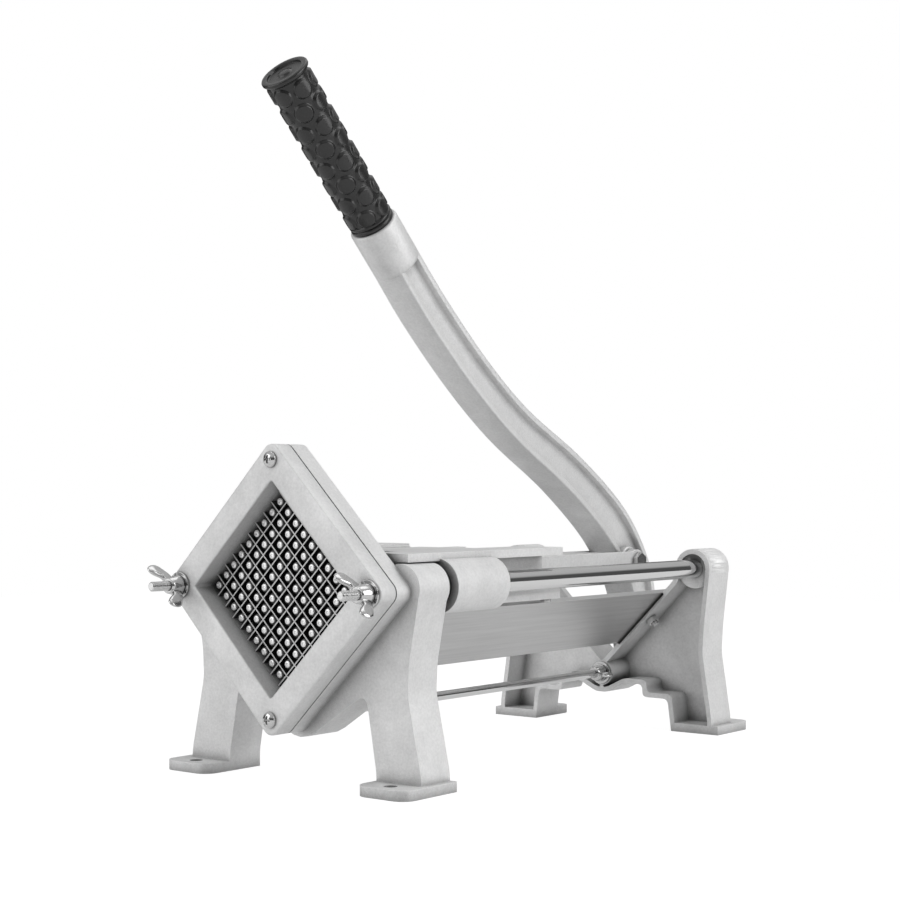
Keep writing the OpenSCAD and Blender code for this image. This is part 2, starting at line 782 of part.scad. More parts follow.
module carriage() {
    color([0.8, 0.8, 0.79]) placed() difference() {
        union() {
            both_sides() {
                round_y(rod_x, sleeve_y, rod_z, 2 * sleeve_r, sleeve_l);
                // Ears that reach forward over the shoulders
                box([ear_in, ear_out], [seat_y + ear_gap, arm_end_y], [plate_z, plate_top]);
                box([flank_in, flank_out], [sleeve_y, sleeve_end_y],
                    [shoe_top, shoe_top + flank_t]);
                box([flank_in, shoe_out], [sleeve_y, shoe_end_y],
                    [shoe_top, shoe_top + flank_t]);
                box([flank_in, shoe_out], [sleeve_y, arm_end_y], [shoe_top, plate_top]);
                // Clevis plates that hold the drawbar's hinge
                sheet(clevis_in, clevis_t) {
                    translate([pusher_back_y, hinge_z - draw_eye_r])
                        square([hinge_y - pusher_back_y, plate_top - hinge_z + draw_eye_r]);
                    translate([hinge_y, hinge_z]) circle(draw_eye_r);
                    translate([hinge_y, hinge_z]) square([draw_eye_r, plate_top - hinge_z]);
                }
            }
            box([-ear_out, ear_out], [pusher_back_y + backing_t, plate_end_y],
                [plate_z, plate_top]);
            box([-flank_out, flank_out], [sleeve_y, sleeve_y + beam_t],
                [beam_bottom, plate_top]);
            box([-hub_x, hub_x], [pusher_back_y, sleeve_y + beam_t], [beam_bottom, plate_top]);
            slab(pusher_back_y, backing_t) diamond(half_backing * sqrt(2), plate_corner_r);
        }
        both_sides()
            round_y(rod_x, sleeve_y - over, rod_z, rod_d + 2 * bush_t + fit_gap,
                    sleeve_l + 2 * over);
        round_x(-clevis_out - over, hinge_y, hinge_z, draw_pin_d + 2 * run_gap,
                2 * (clevis_out + over));
        // Room for the drawbar between the clevis plates
        box([-clevis_in, clevis_in], [sleeve_y + beam_t, hinge_y + hinge_back],
            [beam_bottom - over, plate_z]);
        for (z = [-1, 1])
            round_y(0, pusher_back_y - over, axis_h + z * pusher_screw_out,
                    pusher_screw_d + 2 * fit_gap, backing_t + 2 * over, small_fn);
        for (z = [-1, 1])
            round_y(0, pusher_back_y + backing_t, axis_h + z * pusher_screw_out,
                    pusher_screw_head_d + 2 * pass_gap, hinge_back, small_fn);
        both_sides() for (y = shoe_screw_ys)
            translate([(shoe_in + shoe_out) / 2, y, shoe_z])
                cylinder(d = shoe_screw_d + 2 * fit_gap, h = shoe_t + flank_t, $fn = small_fn);
    }
}
module sleeve_bushes() {
    color([0.7, 0.55, 0.35]) placed() both_sides()
        for (y = [sleeve_y, sleeve_end_y - bush_l]) difference() {
            round_y(rod_x, y, rod_z, rod_d + 2 * bush_t + fit_gap, bush_l);
            round_y(rod_x, y - over, rod_z, rod_d + 2 * run_gap, bush_l + 2 * over);
        }
}
// Calls children once at each cell's centre
module at_cells() {
    for (i = [0 : cells - 1], j = [0 : cells - 1])
        translate([0, 0, axis_h]) rotate([0, 45, 0])
            translate([(i - (cells - 1) / 2) * pitch, 0, (j - (cells - 1) / 2) * pitch])
                children();
}
module pusher_plate() {
    color([0.2, 0.2, 0.2]) placed() difference() {
        slab(pusher_y, pusher_t) diamond(half_pusher * sqrt(2), plate_corner_r);
        at_cells() round_y(0, pusher_y - over, 0, pin_shank_d, pin_shank_l + over, pin_fn);
        for (z = [-1, 1])
            round_y(0, pusher_y + pusher_t / 2, axis_h + z * pusher_screw_out,
                    pusher_screw_d + 2 * fit_gap, pusher_t / 2 + over, small_fn);
    }
}
module pusher_pins() {
    color([0.2, 0.2, 0.2]) placed() at_cells() difference() {
        union() {
            round_y(0, tip_y + tip_t, 0, pin_d, pusher_y - tip_y - tip_t, pin_fn);
            round_y(0, pusher_y, 0, pin_shank_d, pin_shank_l, pin_fn);
        }
        round_y(0, tip_y, 0, tip_shank_d + 2 * fit_gap, tip_t + tip_shank_l + fit_gap,
                pin_fn);
    }
}
module pin_tips() {
    color([0.92, 0.92, 0.92]) placed() at_cells() {
        round_y(0, tip_y, 0, tip_d, tip_t, pin_fn);
        round_y(0, tip_y + tip_t, 0, tip_shank_d, tip_shank_l, pin_fn);
    }
}
module pusher_screws() {
    color([0.8, 0.8, 0.8]) placed() for (z = [-1, 1]) {
        round_y(0, pusher_y + pusher_t / 2, axis_h + z * pusher_screw_out, pusher_screw_d,
                pusher_t / 2 + backing_t, small_fn);
        round_y(0, pusher_back_y + backing_t, axis_h + z * pusher_screw_out,
                pusher_screw_head_d, pusher_screw_head_t, small_fn);
    }
}
module guide_shoes() {
    color([0.76, 0.76, 0.75]) placed() both_sides() difference() {
        box([shoe_in, shoe_out], [sleeve_y, shoe_end_y], [shoe_z, shoe_top]);
        for (y = shoe_screw_ys)
            translate([(shoe_in + shoe_out) / 2, y, shoe_z - over])
                cylinder(d = shoe_screw_d + 2 * fit_gap, h = shoe_t + 2 * over,
                         $fn = small_fn);
    }
}
module shoe_screws() {
    color([0.85, 0.85, 0.85]) placed() both_sides() for (y = shoe_screw_ys)
        translate([(shoe_in + shoe_out) / 2, y, 0]) {
            translate([0, 0, shoe_z - shoe_head_t])
                cylinder(d = shoe_head_d, h = shoe_head_t, $fn = small_fn);
            translate([0, 0, shoe_z])
                cylinder(d = shoe_screw_d, h = shoe_t + flank_t, $fn = small_fn);
        }
}

// Drawbar

module drawbar() {
    color([0.78, 0.78, 0.77]) placed() difference() {
        union() {
            both_sides() sheet(draw_in, draw_t) {
                translate([hinge_y, hinge_z - draw_h / 2]) square([bolt_y - hinge_y, draw_h]);
                for (p = [[hinge_y, hinge_z], [bolt_y, bolt_z]])
                    translate(p) circle(draw_eye_r);
            }
            box([-draw_out, draw_out], [hinge_y + front_web_start,
                hinge_y + front_web_start + front_web_l],
                [hinge_z - draw_h / 2, hinge_z + draw_h / 2]);
            box([-draw_out, draw_out], [bolt_y - rear_web_lead,
                bolt_y - rear_web_lead + rear_web_l],
                [bolt_z + draw_h / 2 - draw_web_t, bolt_z + draw_h / 2]);
        }
        round_x(-draw_out - over, hinge_y, hinge_z, draw_pin_d + 2 * run_gap,
                2 * (draw_out + over));
        round_x(-draw_out - over, bolt_y, bolt_z, draw_pin_d + 2 * run_gap,
                2 * (draw_out + over));
    }
}
module drawbar_pin() {
    color([0.8, 0.8, 0.82]) placed()
        round_x(-clevis_out - pin_end - clip_t, hinge_y, hinge_z, draw_pin_d,
                2 * (clevis_out + pin_end + clip_t));
}
module drawbar_clips() {
    color([0.8, 0.8, 0.8]) placed() both_sides() difference() {
        round_x(clevis_out, hinge_y, hinge_z, 2 * clip_r, clip_t);
        round_x(clevis_out - over, hinge_y, hinge_z, draw_pin_d, clip_t + 2 * over);
    }
}
// Short bolts that end flush inside the drawbar's eyes
module drawbar_bolts() {
    color([0.85, 0.85, 0.85]) placed() both_sides() {
        round_x(draw_in, bolt_y, bolt_z, draw_pin_d, draw_t, small_fn);
        round_x(draw_out, bolt_y, bolt_z, draw_head_d, draw_head_t, 6);
    }
}

// Lever

// Children run from the top of the lever along the grip
module along_grip(start) {
    translate([0, lever_top[0], lever_top[1]]) rotate([grip_lean, 0, 0])
        translate([0, 0, start]) children();
}
module lever() {
    color([0.77, 0.77, 0.76]) placed() difference() {
        union() {
            sheet(-lever_web_t / 2, lever_web_t)
                polygon(concat(beside(1, 0), turned(beside(-1, 0))));
            sheet(-lever_w / 2, lever_w) {
                polygon(concat(beside(1, 0), turned(beside(1, lever_flange_t))));
                polygon(concat(beside(-1, lever_flange_t), turned(beside(-1, 0))));
            }
            round_x(-lever_w / 2, pivot_y, pivot_z, 2 * pivot_boss_r, lever_w);
            round_x(-lever_w / 2, bolt_y, bolt_z, 2 * bolt_boss_r, lever_w);
            along_grip(-collar_back) cylinder(d = collar_d, h = collar_back + collar_l);
        }
        round_x(-lever_w / 2 - over, pivot_y, pivot_z, pivot_d + 2 * pivot_bush_t,
                lever_w + 2 * over);
        round_x(-lever_w / 2 - over, bolt_y, bolt_z, draw_pin_d + 2 * run_gap,
                lever_w + 2 * over);
        along_grip(collar_l - core_sunk)
            cylinder(d = core_d + fit_gap, h = core_sunk + over);
    }
}
module pivot_bush() {
    color([0.7, 0.55, 0.35]) placed() difference() {
        round_x(-lever_w / 2, pivot_y, pivot_z, pivot_d + 2 * pivot_bush_t, lever_w);
        round_x(-lever_w / 2 - over, pivot_y, pivot_z, pivot_d + 2 * run_gap,
                lever_w + 2 * over);
    }
}
module pivot_bolt() {
    color([0.85, 0.85, 0.85]) placed() {
        round_x(-cheek_out, pivot_y, pivot_z, pivot_d, 2 * cheek_out + pivot_head_t + pin_end);
        round_x(-cheek_out - pivot_head_t, pivot_y, pivot_z, pivot_head_d, pivot_head_t, 6);
    }
}
module pivot_nut() {
    color([0.85, 0.85, 0.85]) placed() difference() {
        round_x(cheek_out, pivot_y, pivot_z, pivot_head_d, pivot_head_t, 6);
        round_x(cheek_out - over, pivot_y, pivot_z, pivot_d, pivot_head_t + 2 * over);
    }
}
module grip_core() {
    color([0.8, 0.8, 0.8]) placed() along_grip(collar_l - core_sunk)
        cylinder(d = core_d, h = core_sunk + grip_l);
}
module grip() {
    color([0.15, 0.15, 0.15]) placed() along_grip(collar_l) difference() {
        cylinder(d = grip_d, h = grip_l);
        translate([0, 0, -over]) cylinder(d = core_d + fit_gap, h = grip_l + 2 * over);
    }
}
module grip_cap() {
    color([0.15, 0.15, 0.15]) placed() along_grip(collar_l + grip_l)
        cylinder(d1 = grip_d + 2 * cap_lip, d2 = grip_d, h = grip_cap_t);
}

blade_frame();
blades_rising();
blades_falling();
frame_screws();
frame_studs();
stud_washers();
wing_nut_left();
wing_nut_right();
front_casting();
rear_casting();
guide_rod_left();
guide_rod_right();
rod_end_bolts();
bumper_rings();
tie_rod();
tie_washer();
tie_wing_nut();
trough_panel_left();
trough_panel_right();
panel_screws();
panel_nuts();
carriage();
sleeve_bushes();
pusher_plate();
pusher_pins();
pin_tips();
pusher_screws();
guide_shoes();
shoe_screws();
drawbar();
drawbar_pin();
drawbar_clips();
drawbar_bolts();
lever();
pivot_bush();
pivot_bolt();
pivot_nut();
grip_core();
grip();
grip_cap();
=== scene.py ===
# %% [markdown]
# # A french fry cutter, dressed for its photograph
# The cutter is mostly sand-cast aluminium, with plated screws and wing nuts, chromed rods,
# steel blades, a black pusher and a moulded rubber grip. The frame brings every piece
# at its real size and place. This file rounds the edges of the castings, models the small
# shapes that a frame leaves plain, and gives each surface its finish.

import json
import math

import bmesh
import bpy
import numpy as np
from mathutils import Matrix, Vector


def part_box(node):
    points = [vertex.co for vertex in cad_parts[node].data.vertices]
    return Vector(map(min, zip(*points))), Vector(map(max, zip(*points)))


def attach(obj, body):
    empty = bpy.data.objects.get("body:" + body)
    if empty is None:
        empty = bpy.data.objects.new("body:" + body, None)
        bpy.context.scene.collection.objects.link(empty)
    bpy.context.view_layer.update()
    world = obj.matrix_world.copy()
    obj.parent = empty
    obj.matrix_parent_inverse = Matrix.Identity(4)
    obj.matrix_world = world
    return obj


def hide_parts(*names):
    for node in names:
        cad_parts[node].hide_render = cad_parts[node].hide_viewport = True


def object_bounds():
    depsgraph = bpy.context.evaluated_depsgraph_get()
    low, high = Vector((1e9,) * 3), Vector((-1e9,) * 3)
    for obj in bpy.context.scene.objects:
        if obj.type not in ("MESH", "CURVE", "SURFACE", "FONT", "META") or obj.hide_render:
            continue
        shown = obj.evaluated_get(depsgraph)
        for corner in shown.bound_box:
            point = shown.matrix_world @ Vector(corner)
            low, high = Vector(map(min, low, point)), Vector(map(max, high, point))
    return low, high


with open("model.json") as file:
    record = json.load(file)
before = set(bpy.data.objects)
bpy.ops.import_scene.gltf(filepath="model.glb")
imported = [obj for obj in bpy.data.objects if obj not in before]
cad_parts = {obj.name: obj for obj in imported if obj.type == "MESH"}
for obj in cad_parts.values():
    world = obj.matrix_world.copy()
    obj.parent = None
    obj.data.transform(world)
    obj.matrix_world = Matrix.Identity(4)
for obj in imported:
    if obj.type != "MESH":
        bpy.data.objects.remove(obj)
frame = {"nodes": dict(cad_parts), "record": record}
cad_low, cad_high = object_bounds()
MM = 0.001
LEAN = math.radians(45)
GRIP_AXIS = np.array((0, -math.sin(LEAN), math.cos(LEAN)))
BODY_OF = {n: body for body, names in frame["record"]["behaviour"]["bodies"].items() for n in names}
SLOT_OF = {part["node"]: part["material_slot"] for part in frame["record"]["subparts"]}

# %% [markdown]
# ## Camera
# The photograph looks at the cutter from the front right, from a little above the blades, and
# hardly tilts. A long lens stands well back. The camera comes first, because everything else
# is judged through it.

# %% Place the camera
SENSOR = 36.0
FOCAL_SHARE = 1.974
EYE = Vector((0.723, -0.9475, 0.172))
YAW = math.radians(38.3)
PITCH = math.radians(1.28)

camera_data = bpy.data.cameras.new("camera")
camera_data.sensor_width = SENSOR
camera_data.lens = SENSOR * FOCAL_SHARE
camera = bpy.data.objects.new("camera", camera_data)
camera.location = EYE
camera.rotation_euler = (math.pi / 2 + PITCH, 0, YAW)
bpy.context.collection.objects.link(camera)
bpy.context.scene.camera = camera
print("lens", round(camera_data.lens, 1), "mm")

# %% [markdown]
# ## Studio
# Three soft lamps and a pale room light the cutter. The white background comes from what the
# camera sees of the world and the floor, not from more light on the metal.

# %% Light the cutter with soft lamps
CENTRE = (cad_low + cad_high) / 2
# Place, side of the square and power in watts
LAMPS = {
    "key_lamp": ((-1.15, -1.85, 0.85), 2.0, 17),
    "side_lamp": ((1.8, 0.4, 0.8), 1.4, 18),
    "top_lamp": ((0.0, 0.3, 2.0), 1.6, 7),
}


def soft_lamp(name, place, size, power):
    """A square area lamp at a place, turned to the middle of the cutter."""
    data = bpy.data.lights.new(name, "AREA")
    data.size = size
    data.energy = power
    lamp = bpy.data.objects.new(name, data)
    lamp.location = place
    lamp.rotation_euler = (CENTRE - Vector(place)).to_track_quat("-Z", "Y").to_euler()
    bpy.context.collection.objects.link(lamp)


for lamp_name, lamp_values in LAMPS.items():
    soft_lamp(lamp_name, *lamp_values)
print(len(LAMPS), "lamps")

# %% [markdown]
# ### Helpers for nodes
# An input of a node takes either a link or a plain value. One helper does both, so a tree
# reads as a list of what feeds what.


# %% Define the helpers for nodes
def feed(tree, socket, value):
    """Links another socket to an input, or sets the input to a plain value."""
    if hasattr(value, "links"):
        tree.links.new(value, socket)
    else:
        socket.default_value = value


def add_node(tree, kind, **inputs):
    """A node of a kind; each input that is named takes a socket or a value."""
    node = tree.nodes.new(kind)
    for name, value in inputs.items():
        feed(tree, node.inputs[name.replace("_", " ")], value)
    return node


def compute(tree, operation, first, second):
    """The result of a math node with two inputs."""
    node = tree.nodes.new("ShaderNodeMath")
    node.operation = operation
    feed(tree, node.inputs[0], first)
    feed(tree, node.inputs[1], second)
    return node.outputs[0]


def camera_mix(tree, plain, shown):
    """A number that is shown for camera rays, and plain for all others."""
    rays = tree.nodes.new("ShaderNodeLightPath")
    level = add_node(tree, "ShaderNodeMapRange", Value=rays.outputs["Is Camera Ray"],
                     To_Min=plain, To_Max=shown)
    return level.outputs["Result"]


# %% [markdown]
# ### Room
# The camera sees plain white. Everything else sees a studio: a bright tent above, a dimmer
# one below, and a dark strip from the horizon up. The strip gives chrome its dark line.

# %% Build the room around the cutter
# Height of a direction, from 0 straight down to 1 straight up, and the tent's level there
TENT_STEPS = ((0.0, 0.3), (0.42, 0.3), (0.46, 0.14), (0.65, 0.14), (0.71, 0.8), (0.85, 0.95), (1.0, 0.95))
TENT_LIGHT = 0.6

world = bpy.data.worlds.new("room")
bpy.context.scene.world = world
world.use_nodes = True


def build_room(tree):
    """Fills the world's tree: height of the ray's direction, tent steps, then strength."""
    direction = tree.nodes.new("ShaderNodeTexCoord").outputs["Generated"]
    parts = add_node(tree, "ShaderNodeSeparateXYZ", Vector=direction)
    height = add_node(tree, "ShaderNodeMapRange", Value=parts.outputs["Z"], From_Min=-1)
    ramp = add_node(tree, "ShaderNodeValToRGB", Fac=height.outputs["Result"])
    stops = ramp.color_ramp.elements
    while len(stops) < len(TENT_STEPS):
        stops.new(0.5)
    for stop, (place, level) in zip(stops, TENT_STEPS):
        stop.position = place
        stop.color = (level, level, level, 1)
    tent = compute(tree, "MULTIPLY", ramp.outputs["Color"], TENT_LIGHT)
    back = tree.nodes["Background"]
    feed(tree, back.inputs["Color"], (1, 1, 1, 1))
    feed(tree, back.inputs["Strength"], camera_mix(tree, tent, 1.0))


build_room(world.node_tree)
print("room with", len(TENT_STEPS), "steps of light")

# %% [markdown]
# ### Floor
# The floor is a matt sheet that keeps the cutter's shadow. For the camera, and less so in
# reflections, it glows a little, so that it ends in the white of the room.

# %% Lay a pale floor that keeps the shadow
FLOOR_HALF = 1.6
FLOOR_COLOUR = (0.6, 0.6, 0.6, 1)
FLOOR_GLOW = 1.3
FLOOR_SHOWN = 0.72
FLOOR_MIRRORED = 0.35


def pale_floor():
    """A flat square at table height: a matt sheet, lifted to white for the camera."""
    mesh = bpy.data.meshes.new("floor")
    corners = [(x * FLOOR_HALF, y * FLOOR_HALF, 0) for x, y in ((-1, -1), (1, -1), (1, 1), (-1, 1))]
    mesh.from_pydata(corners, [], [(0, 1, 2, 3)])
    floor = bpy.data.objects.new("floor", mesh)
    bpy.context.collection.objects.link(floor)
    material = bpy.data.materials.new("white_sheet")
    material.use_nodes = True
    tree = material.node_tree
    tree.nodes.clear()
    matt = add_node(tree, "ShaderNodeBsdfDiffuse", Color=FLOOR_COLOUR)
    glow = add_node(tree, "ShaderNodeEmission", Strength=FLOOR_GLOW)
    glossy = tree.nodes.new("ShaderNodeLightPath").outputs["Is Glossy Ray"]
    mirrored = compute(tree, "MULTIPLY", glossy, FLOOR_MIRRORED)
    mix = add_node(tree, "ShaderNodeMixShader", Fac=camera_mix(tree, mirrored, FLOOR_SHOWN))
    tree.links.new(matt.outputs[0], mix.inputs[1])
    tree.links.new(glow.outputs[0], mix.inputs[2])
    add_node(tree, "ShaderNodeOutputMaterial", Surface=mix.outputs[0])
    mesh.materials.append(material)


pale_floor()
bpy.context.scene.view_settings.view_transform = "Standard"
print("floor", 2 * FLOOR_HALF, "m wide")

# %% [markdown]
# ## Finishes
# A cast surface is never one colour. Sand leaves a fine grain, tumbling polishes the high
# spots, and oxide dulls broad patches. These effects are node groups with named inputs, so
# each metal can take its own amounts. The shader itself stays in the material.

# %% Build node groups
COLOUR, NUMBER = "NodeSocketColor", "NodeSocketFloat"


def new_group(name, inputs, outputs):
    """An empty node group with its sockets; inputs maps a name to a type and a value."""
    group = bpy.data.node_groups.new(name, "ShaderNodeTree")
    for label, (kind, value) in inputs.items():
        socket = group.interface.new_socket(name=label, in_out="INPUT", socket_type=kind)
        socket.default_value = value
    for label, kind in outputs.items():
        group.interface.new_socket(name=label, in_out="OUTPUT", socket_type=kind)
    return group, group.nodes.new("NodeGroupInput").outputs, group.nodes.new("NodeGroupOutput").inputs


def mix_colours(tree, factor, first, second):
    """The first colour where the factor is 0, the second where it is 1."""
    mix = tree.nodes.new("ShaderNodeMix")
    mix.data_type = "RGBA"
    for number, value in ((0, factor), (6, first), (7, second)):
        feed(tree, mix.inputs[number], value)
    return mix.outputs[2]


def spread_about(tree, level, mask, spread):
    """The level, raised where the mask is above a half and lowered where it is below."""
    above = compute(tree, "SUBTRACT", mask, 0.5)
    return compute(tree, "ADD", level, compute(tree, "MULTIPLY", above, spread))


# %% [markdown]
# ### Cast grain
# Two noises make a casting: one at the size of a sand grain for the relief and the gloss, one
# many times larger for the patches where the skin is duller. The grain also lifts and lowers
# the colour a little, because each tiny facet catches the light differently.

# %% Make the cast grain
GRAIN_SHARE = 0.6
PATCH_SHARE = 0.3


def cast_grain_group():
    """Colour, roughness and height of a sand-cast skin."""
    group, given, made = new_group(
        "cast_grain",
        {"Colour": (COLOUR, (0.6, 0.6, 0.6, 1)), "Dull Colour": (COLOUR, (0.5, 0.5, 0.5, 1)),
         "Grain Scale": (NUMBER, 1400.0), "Patch Scale": (NUMBER, 30.0),
         "Roughness": (NUMBER, 0.45), "Roughness Spread": (NUMBER, 0.2)},
        {"Colour": COLOUR, "Roughness": NUMBER, "Height": NUMBER})
    place = group.nodes.new("ShaderNodeTexCoord").outputs["Object"]
    grain = add_node(group, "ShaderNodeTexNoise", Vector=place, Scale=given["Grain Scale"],
                     Detail=3.0, Roughness=0.6).outputs["Fac"]
    patch = add_node(group, "ShaderNodeTexNoise", Vector=place, Scale=given["Patch Scale"],
                     Detail=4.0, Roughness=0.65, Distortion=0.4).outputs["Fac"]
    spots = add_node(group, "ShaderNodeMapRange", Value=patch, From_Min=0.35, From_Max=0.7)
    cloud = compute(group, "MULTIPLY", spots.outputs["Result"], PATCH_SHARE)
    dull = compute(group, "ADD", compute(group, "MULTIPLY", grain, GRAIN_SHARE), cloud)
    feed(group, made["Colour"], mix_colours(group, dull, given["Colour"], given["Dull Colour"]))
    feed(group, made["Roughness"], spread_about(group, given["Roughness"], dull, given["Roughness Spread"]))
    feed(group, made["Height"], grain)
    return group


CAST_GRAIN = cast_grain_group()
print(CAST_GRAIN.name, "has", len(CAST_GRAIN.nodes), "nodes")

# %% [markdown]
# ### Drawn lines
# Rolled sheet, drawn rods and ground blades carry fine lines along one direction. The same
# noise makes them when its space is squeezed across the lines and stretched along them.


# %% Make the drawn lines
def drawn_lines_group():
    """Colour, roughness and height of metal that was rolled, drawn or ground."""
    group, given, made = new_group(
        "drawn_lines",
        {"Colour": (COLOUR, (0.7, 0.7, 0.7, 1)), "Line Colour": (COLOUR, (0.5, 0.5, 0.5, 1)),
         "Across": (NUMBER, 2500.0), "Along": (NUMBER, 25.0),
         "Roughness": (NUMBER, 0.25), "Roughness Spread": (NUMBER, 0.15)},
        {"Colour": COLOUR, "Roughness": NUMBER, "Height": NUMBER})
    place = group.nodes.new("ShaderNodeTexCoord").outputs["Object"]
    stretch = add_node(group, "ShaderNodeCombineXYZ", X=given["Across"], Y=given["Along"], Z=given["Across"])
    squeezed = group.nodes.new("ShaderNodeVectorMath")
    squeezed.operation = "MULTIPLY"
    feed(group, squeezed.inputs[0], place)
    feed(group, squeezed.inputs[1], stretch.outputs[0])
    lines = add_node(group, "ShaderNodeTexNoise", Vector=squeezed.outputs[0], Scale=1.0,
                     Detail=3.0, Roughness=0.7).outputs["Fac"]
    feed(group, made["Colour"], mix_colours(group, lines, given["Colour"], given["Line Colour"]))
    feed(group, made["Roughness"], spread_about(group, given["Roughness"], lines, given["Roughness Spread"]))
    feed(group, made["Height"], lines)
    return group


DRAWN_LINES = drawn_lines_group()
print(DRAWN_LINES.name, "has", len(DRAWN_LINES.nodes), "nodes")

# %% [markdown]
# ### Edges and hollows
# Handling polishes the edges of a casting, and their colour is also lifted as a painted highlight. Hollows
# get less light, and their colour is darkened as painted shade. The bevel node gives the softened normal of
# an edge.
# Where that normal turns away from the surface's own, the edge is painted brighter, part wear and part
# highlight.

# %% Brighten the edges and paint shade into the hollows
BUMP_STRENGTH = 0.5
EDGE_SAMPLES = 6
# Edge colour lifted towards white, part wear and part painted highlight
EDGE_WEAR_AND_HIGHLIGHT = 0.9
# Painted shade: how dark the colour gets in the deepest hollows
PAINTED_SHADE_LEVEL = 0.22
PAINTED_SHADE_SAMPLES = 6


def worn_and_highlit_edges(tree, colour, soft_normal):
    """The colour, brighter where the soft normal differs from the surface's normal: part wear, part painted
    highlight.
    """
    bend = tree.nodes.new("ShaderNodeVectorMath")
    bend.operation = "DOT_PRODUCT"
    feed(tree, bend.inputs[0], soft_normal)
    feed(tree, bend.inputs[1], tree.nodes.new("ShaderNodeNewGeometry").outputs["Normal"])
    brightened = add_node(tree, "ShaderNodeMapRange", Value=bend.outputs["Value"],
                    From_Min=0.97, From_Max=0.85, To_Max=EDGE_WEAR_AND_HIGHLIGHT)
    return mix_colours(tree, brightened.outputs["Result"], colour, grey(1.0))


def paint_shade_in_hollows(tree, colour, width):
    """The colour, darkened in hollows up to a width, as painted shade."""
    hollow = add_node(tree, "ShaderNodeAmbientOcclusion", Distance=width)
    hollow.samples = PAINTED_SHADE_SAMPLES
    shade = add_node(tree, "ShaderNodeMapRange", Value=hollow.outputs["AO"],
                     From_Min=0.25, From_Max=0.85, To_Min=PAINTED_SHADE_LEVEL)
    darker = tree.nodes.new("ShaderNodeVectorMath")
    darker.operation = "SCALE"
    feed(tree, darker.inputs[0], colour)
    feed(tree, darker.inputs["Scale"], shade.outputs["Result"])
    return darker.outputs[0]


def grey(level):
    """A neutral colour."""
    return (level, level, level, 1)


# %% [markdown]
# ### Materials from a group
# Every finish is a Principled shader fed by one of the groups, with a shallow bump. Bare
# castings are only partly metallic, because oxide covers them. Rubber and plastic aren't.


# %% Make the materials
def finish(name, group, values, metallic, bump_depth, edge_r=0.0, painted_shade_width=0.0):
    """A material from a node group; edge_r softens edges and paints them brighter, and hollows up to the
    last width given get painted shade.
    """
    material = bpy.data.materials.new(name)
    material.use_nodes = True
    tree = material.node_tree
    shader = tree.nodes["Principled BSDF"]
    look = tree.nodes.new("ShaderNodeGroup")
    look.node_tree = group
    for label, value in values.items():
        look.inputs[label].default_value = value
    colour = look.outputs["Colour"]
    relief = add_node(tree, "ShaderNodeBump", Strength=BUMP_STRENGTH, Distance=bump_depth,
                      Height=look.outputs["Height"])
    if edge_r:
        edges = add_node(tree, "ShaderNodeBevel", Radius=edge_r)
        edges.samples = EDGE_SAMPLES
        feed(tree, relief.inputs["Normal"], edges.outputs["Normal"])
        # Edges are painted brighter, part wear and part highlight
        colour = worn_and_highlit_edges(tree, colour, edges.outputs["Normal"])
    # Painted shade: the colour is darkened where ambient occlusion finds a hollow
    if painted_shade_width:
        colour = paint_shade_in_hollows(tree, colour, painted_shade_width)
    shader.inputs["Metallic"].default_value = metallic
    feed(tree, shader.inputs["Base Color"], colour)
    feed(tree, shader.inputs["Roughness"], look.outputs["Roughness"])
    feed(tree, shader.inputs["Normal"], relief.outputs["Normal"])
    return material


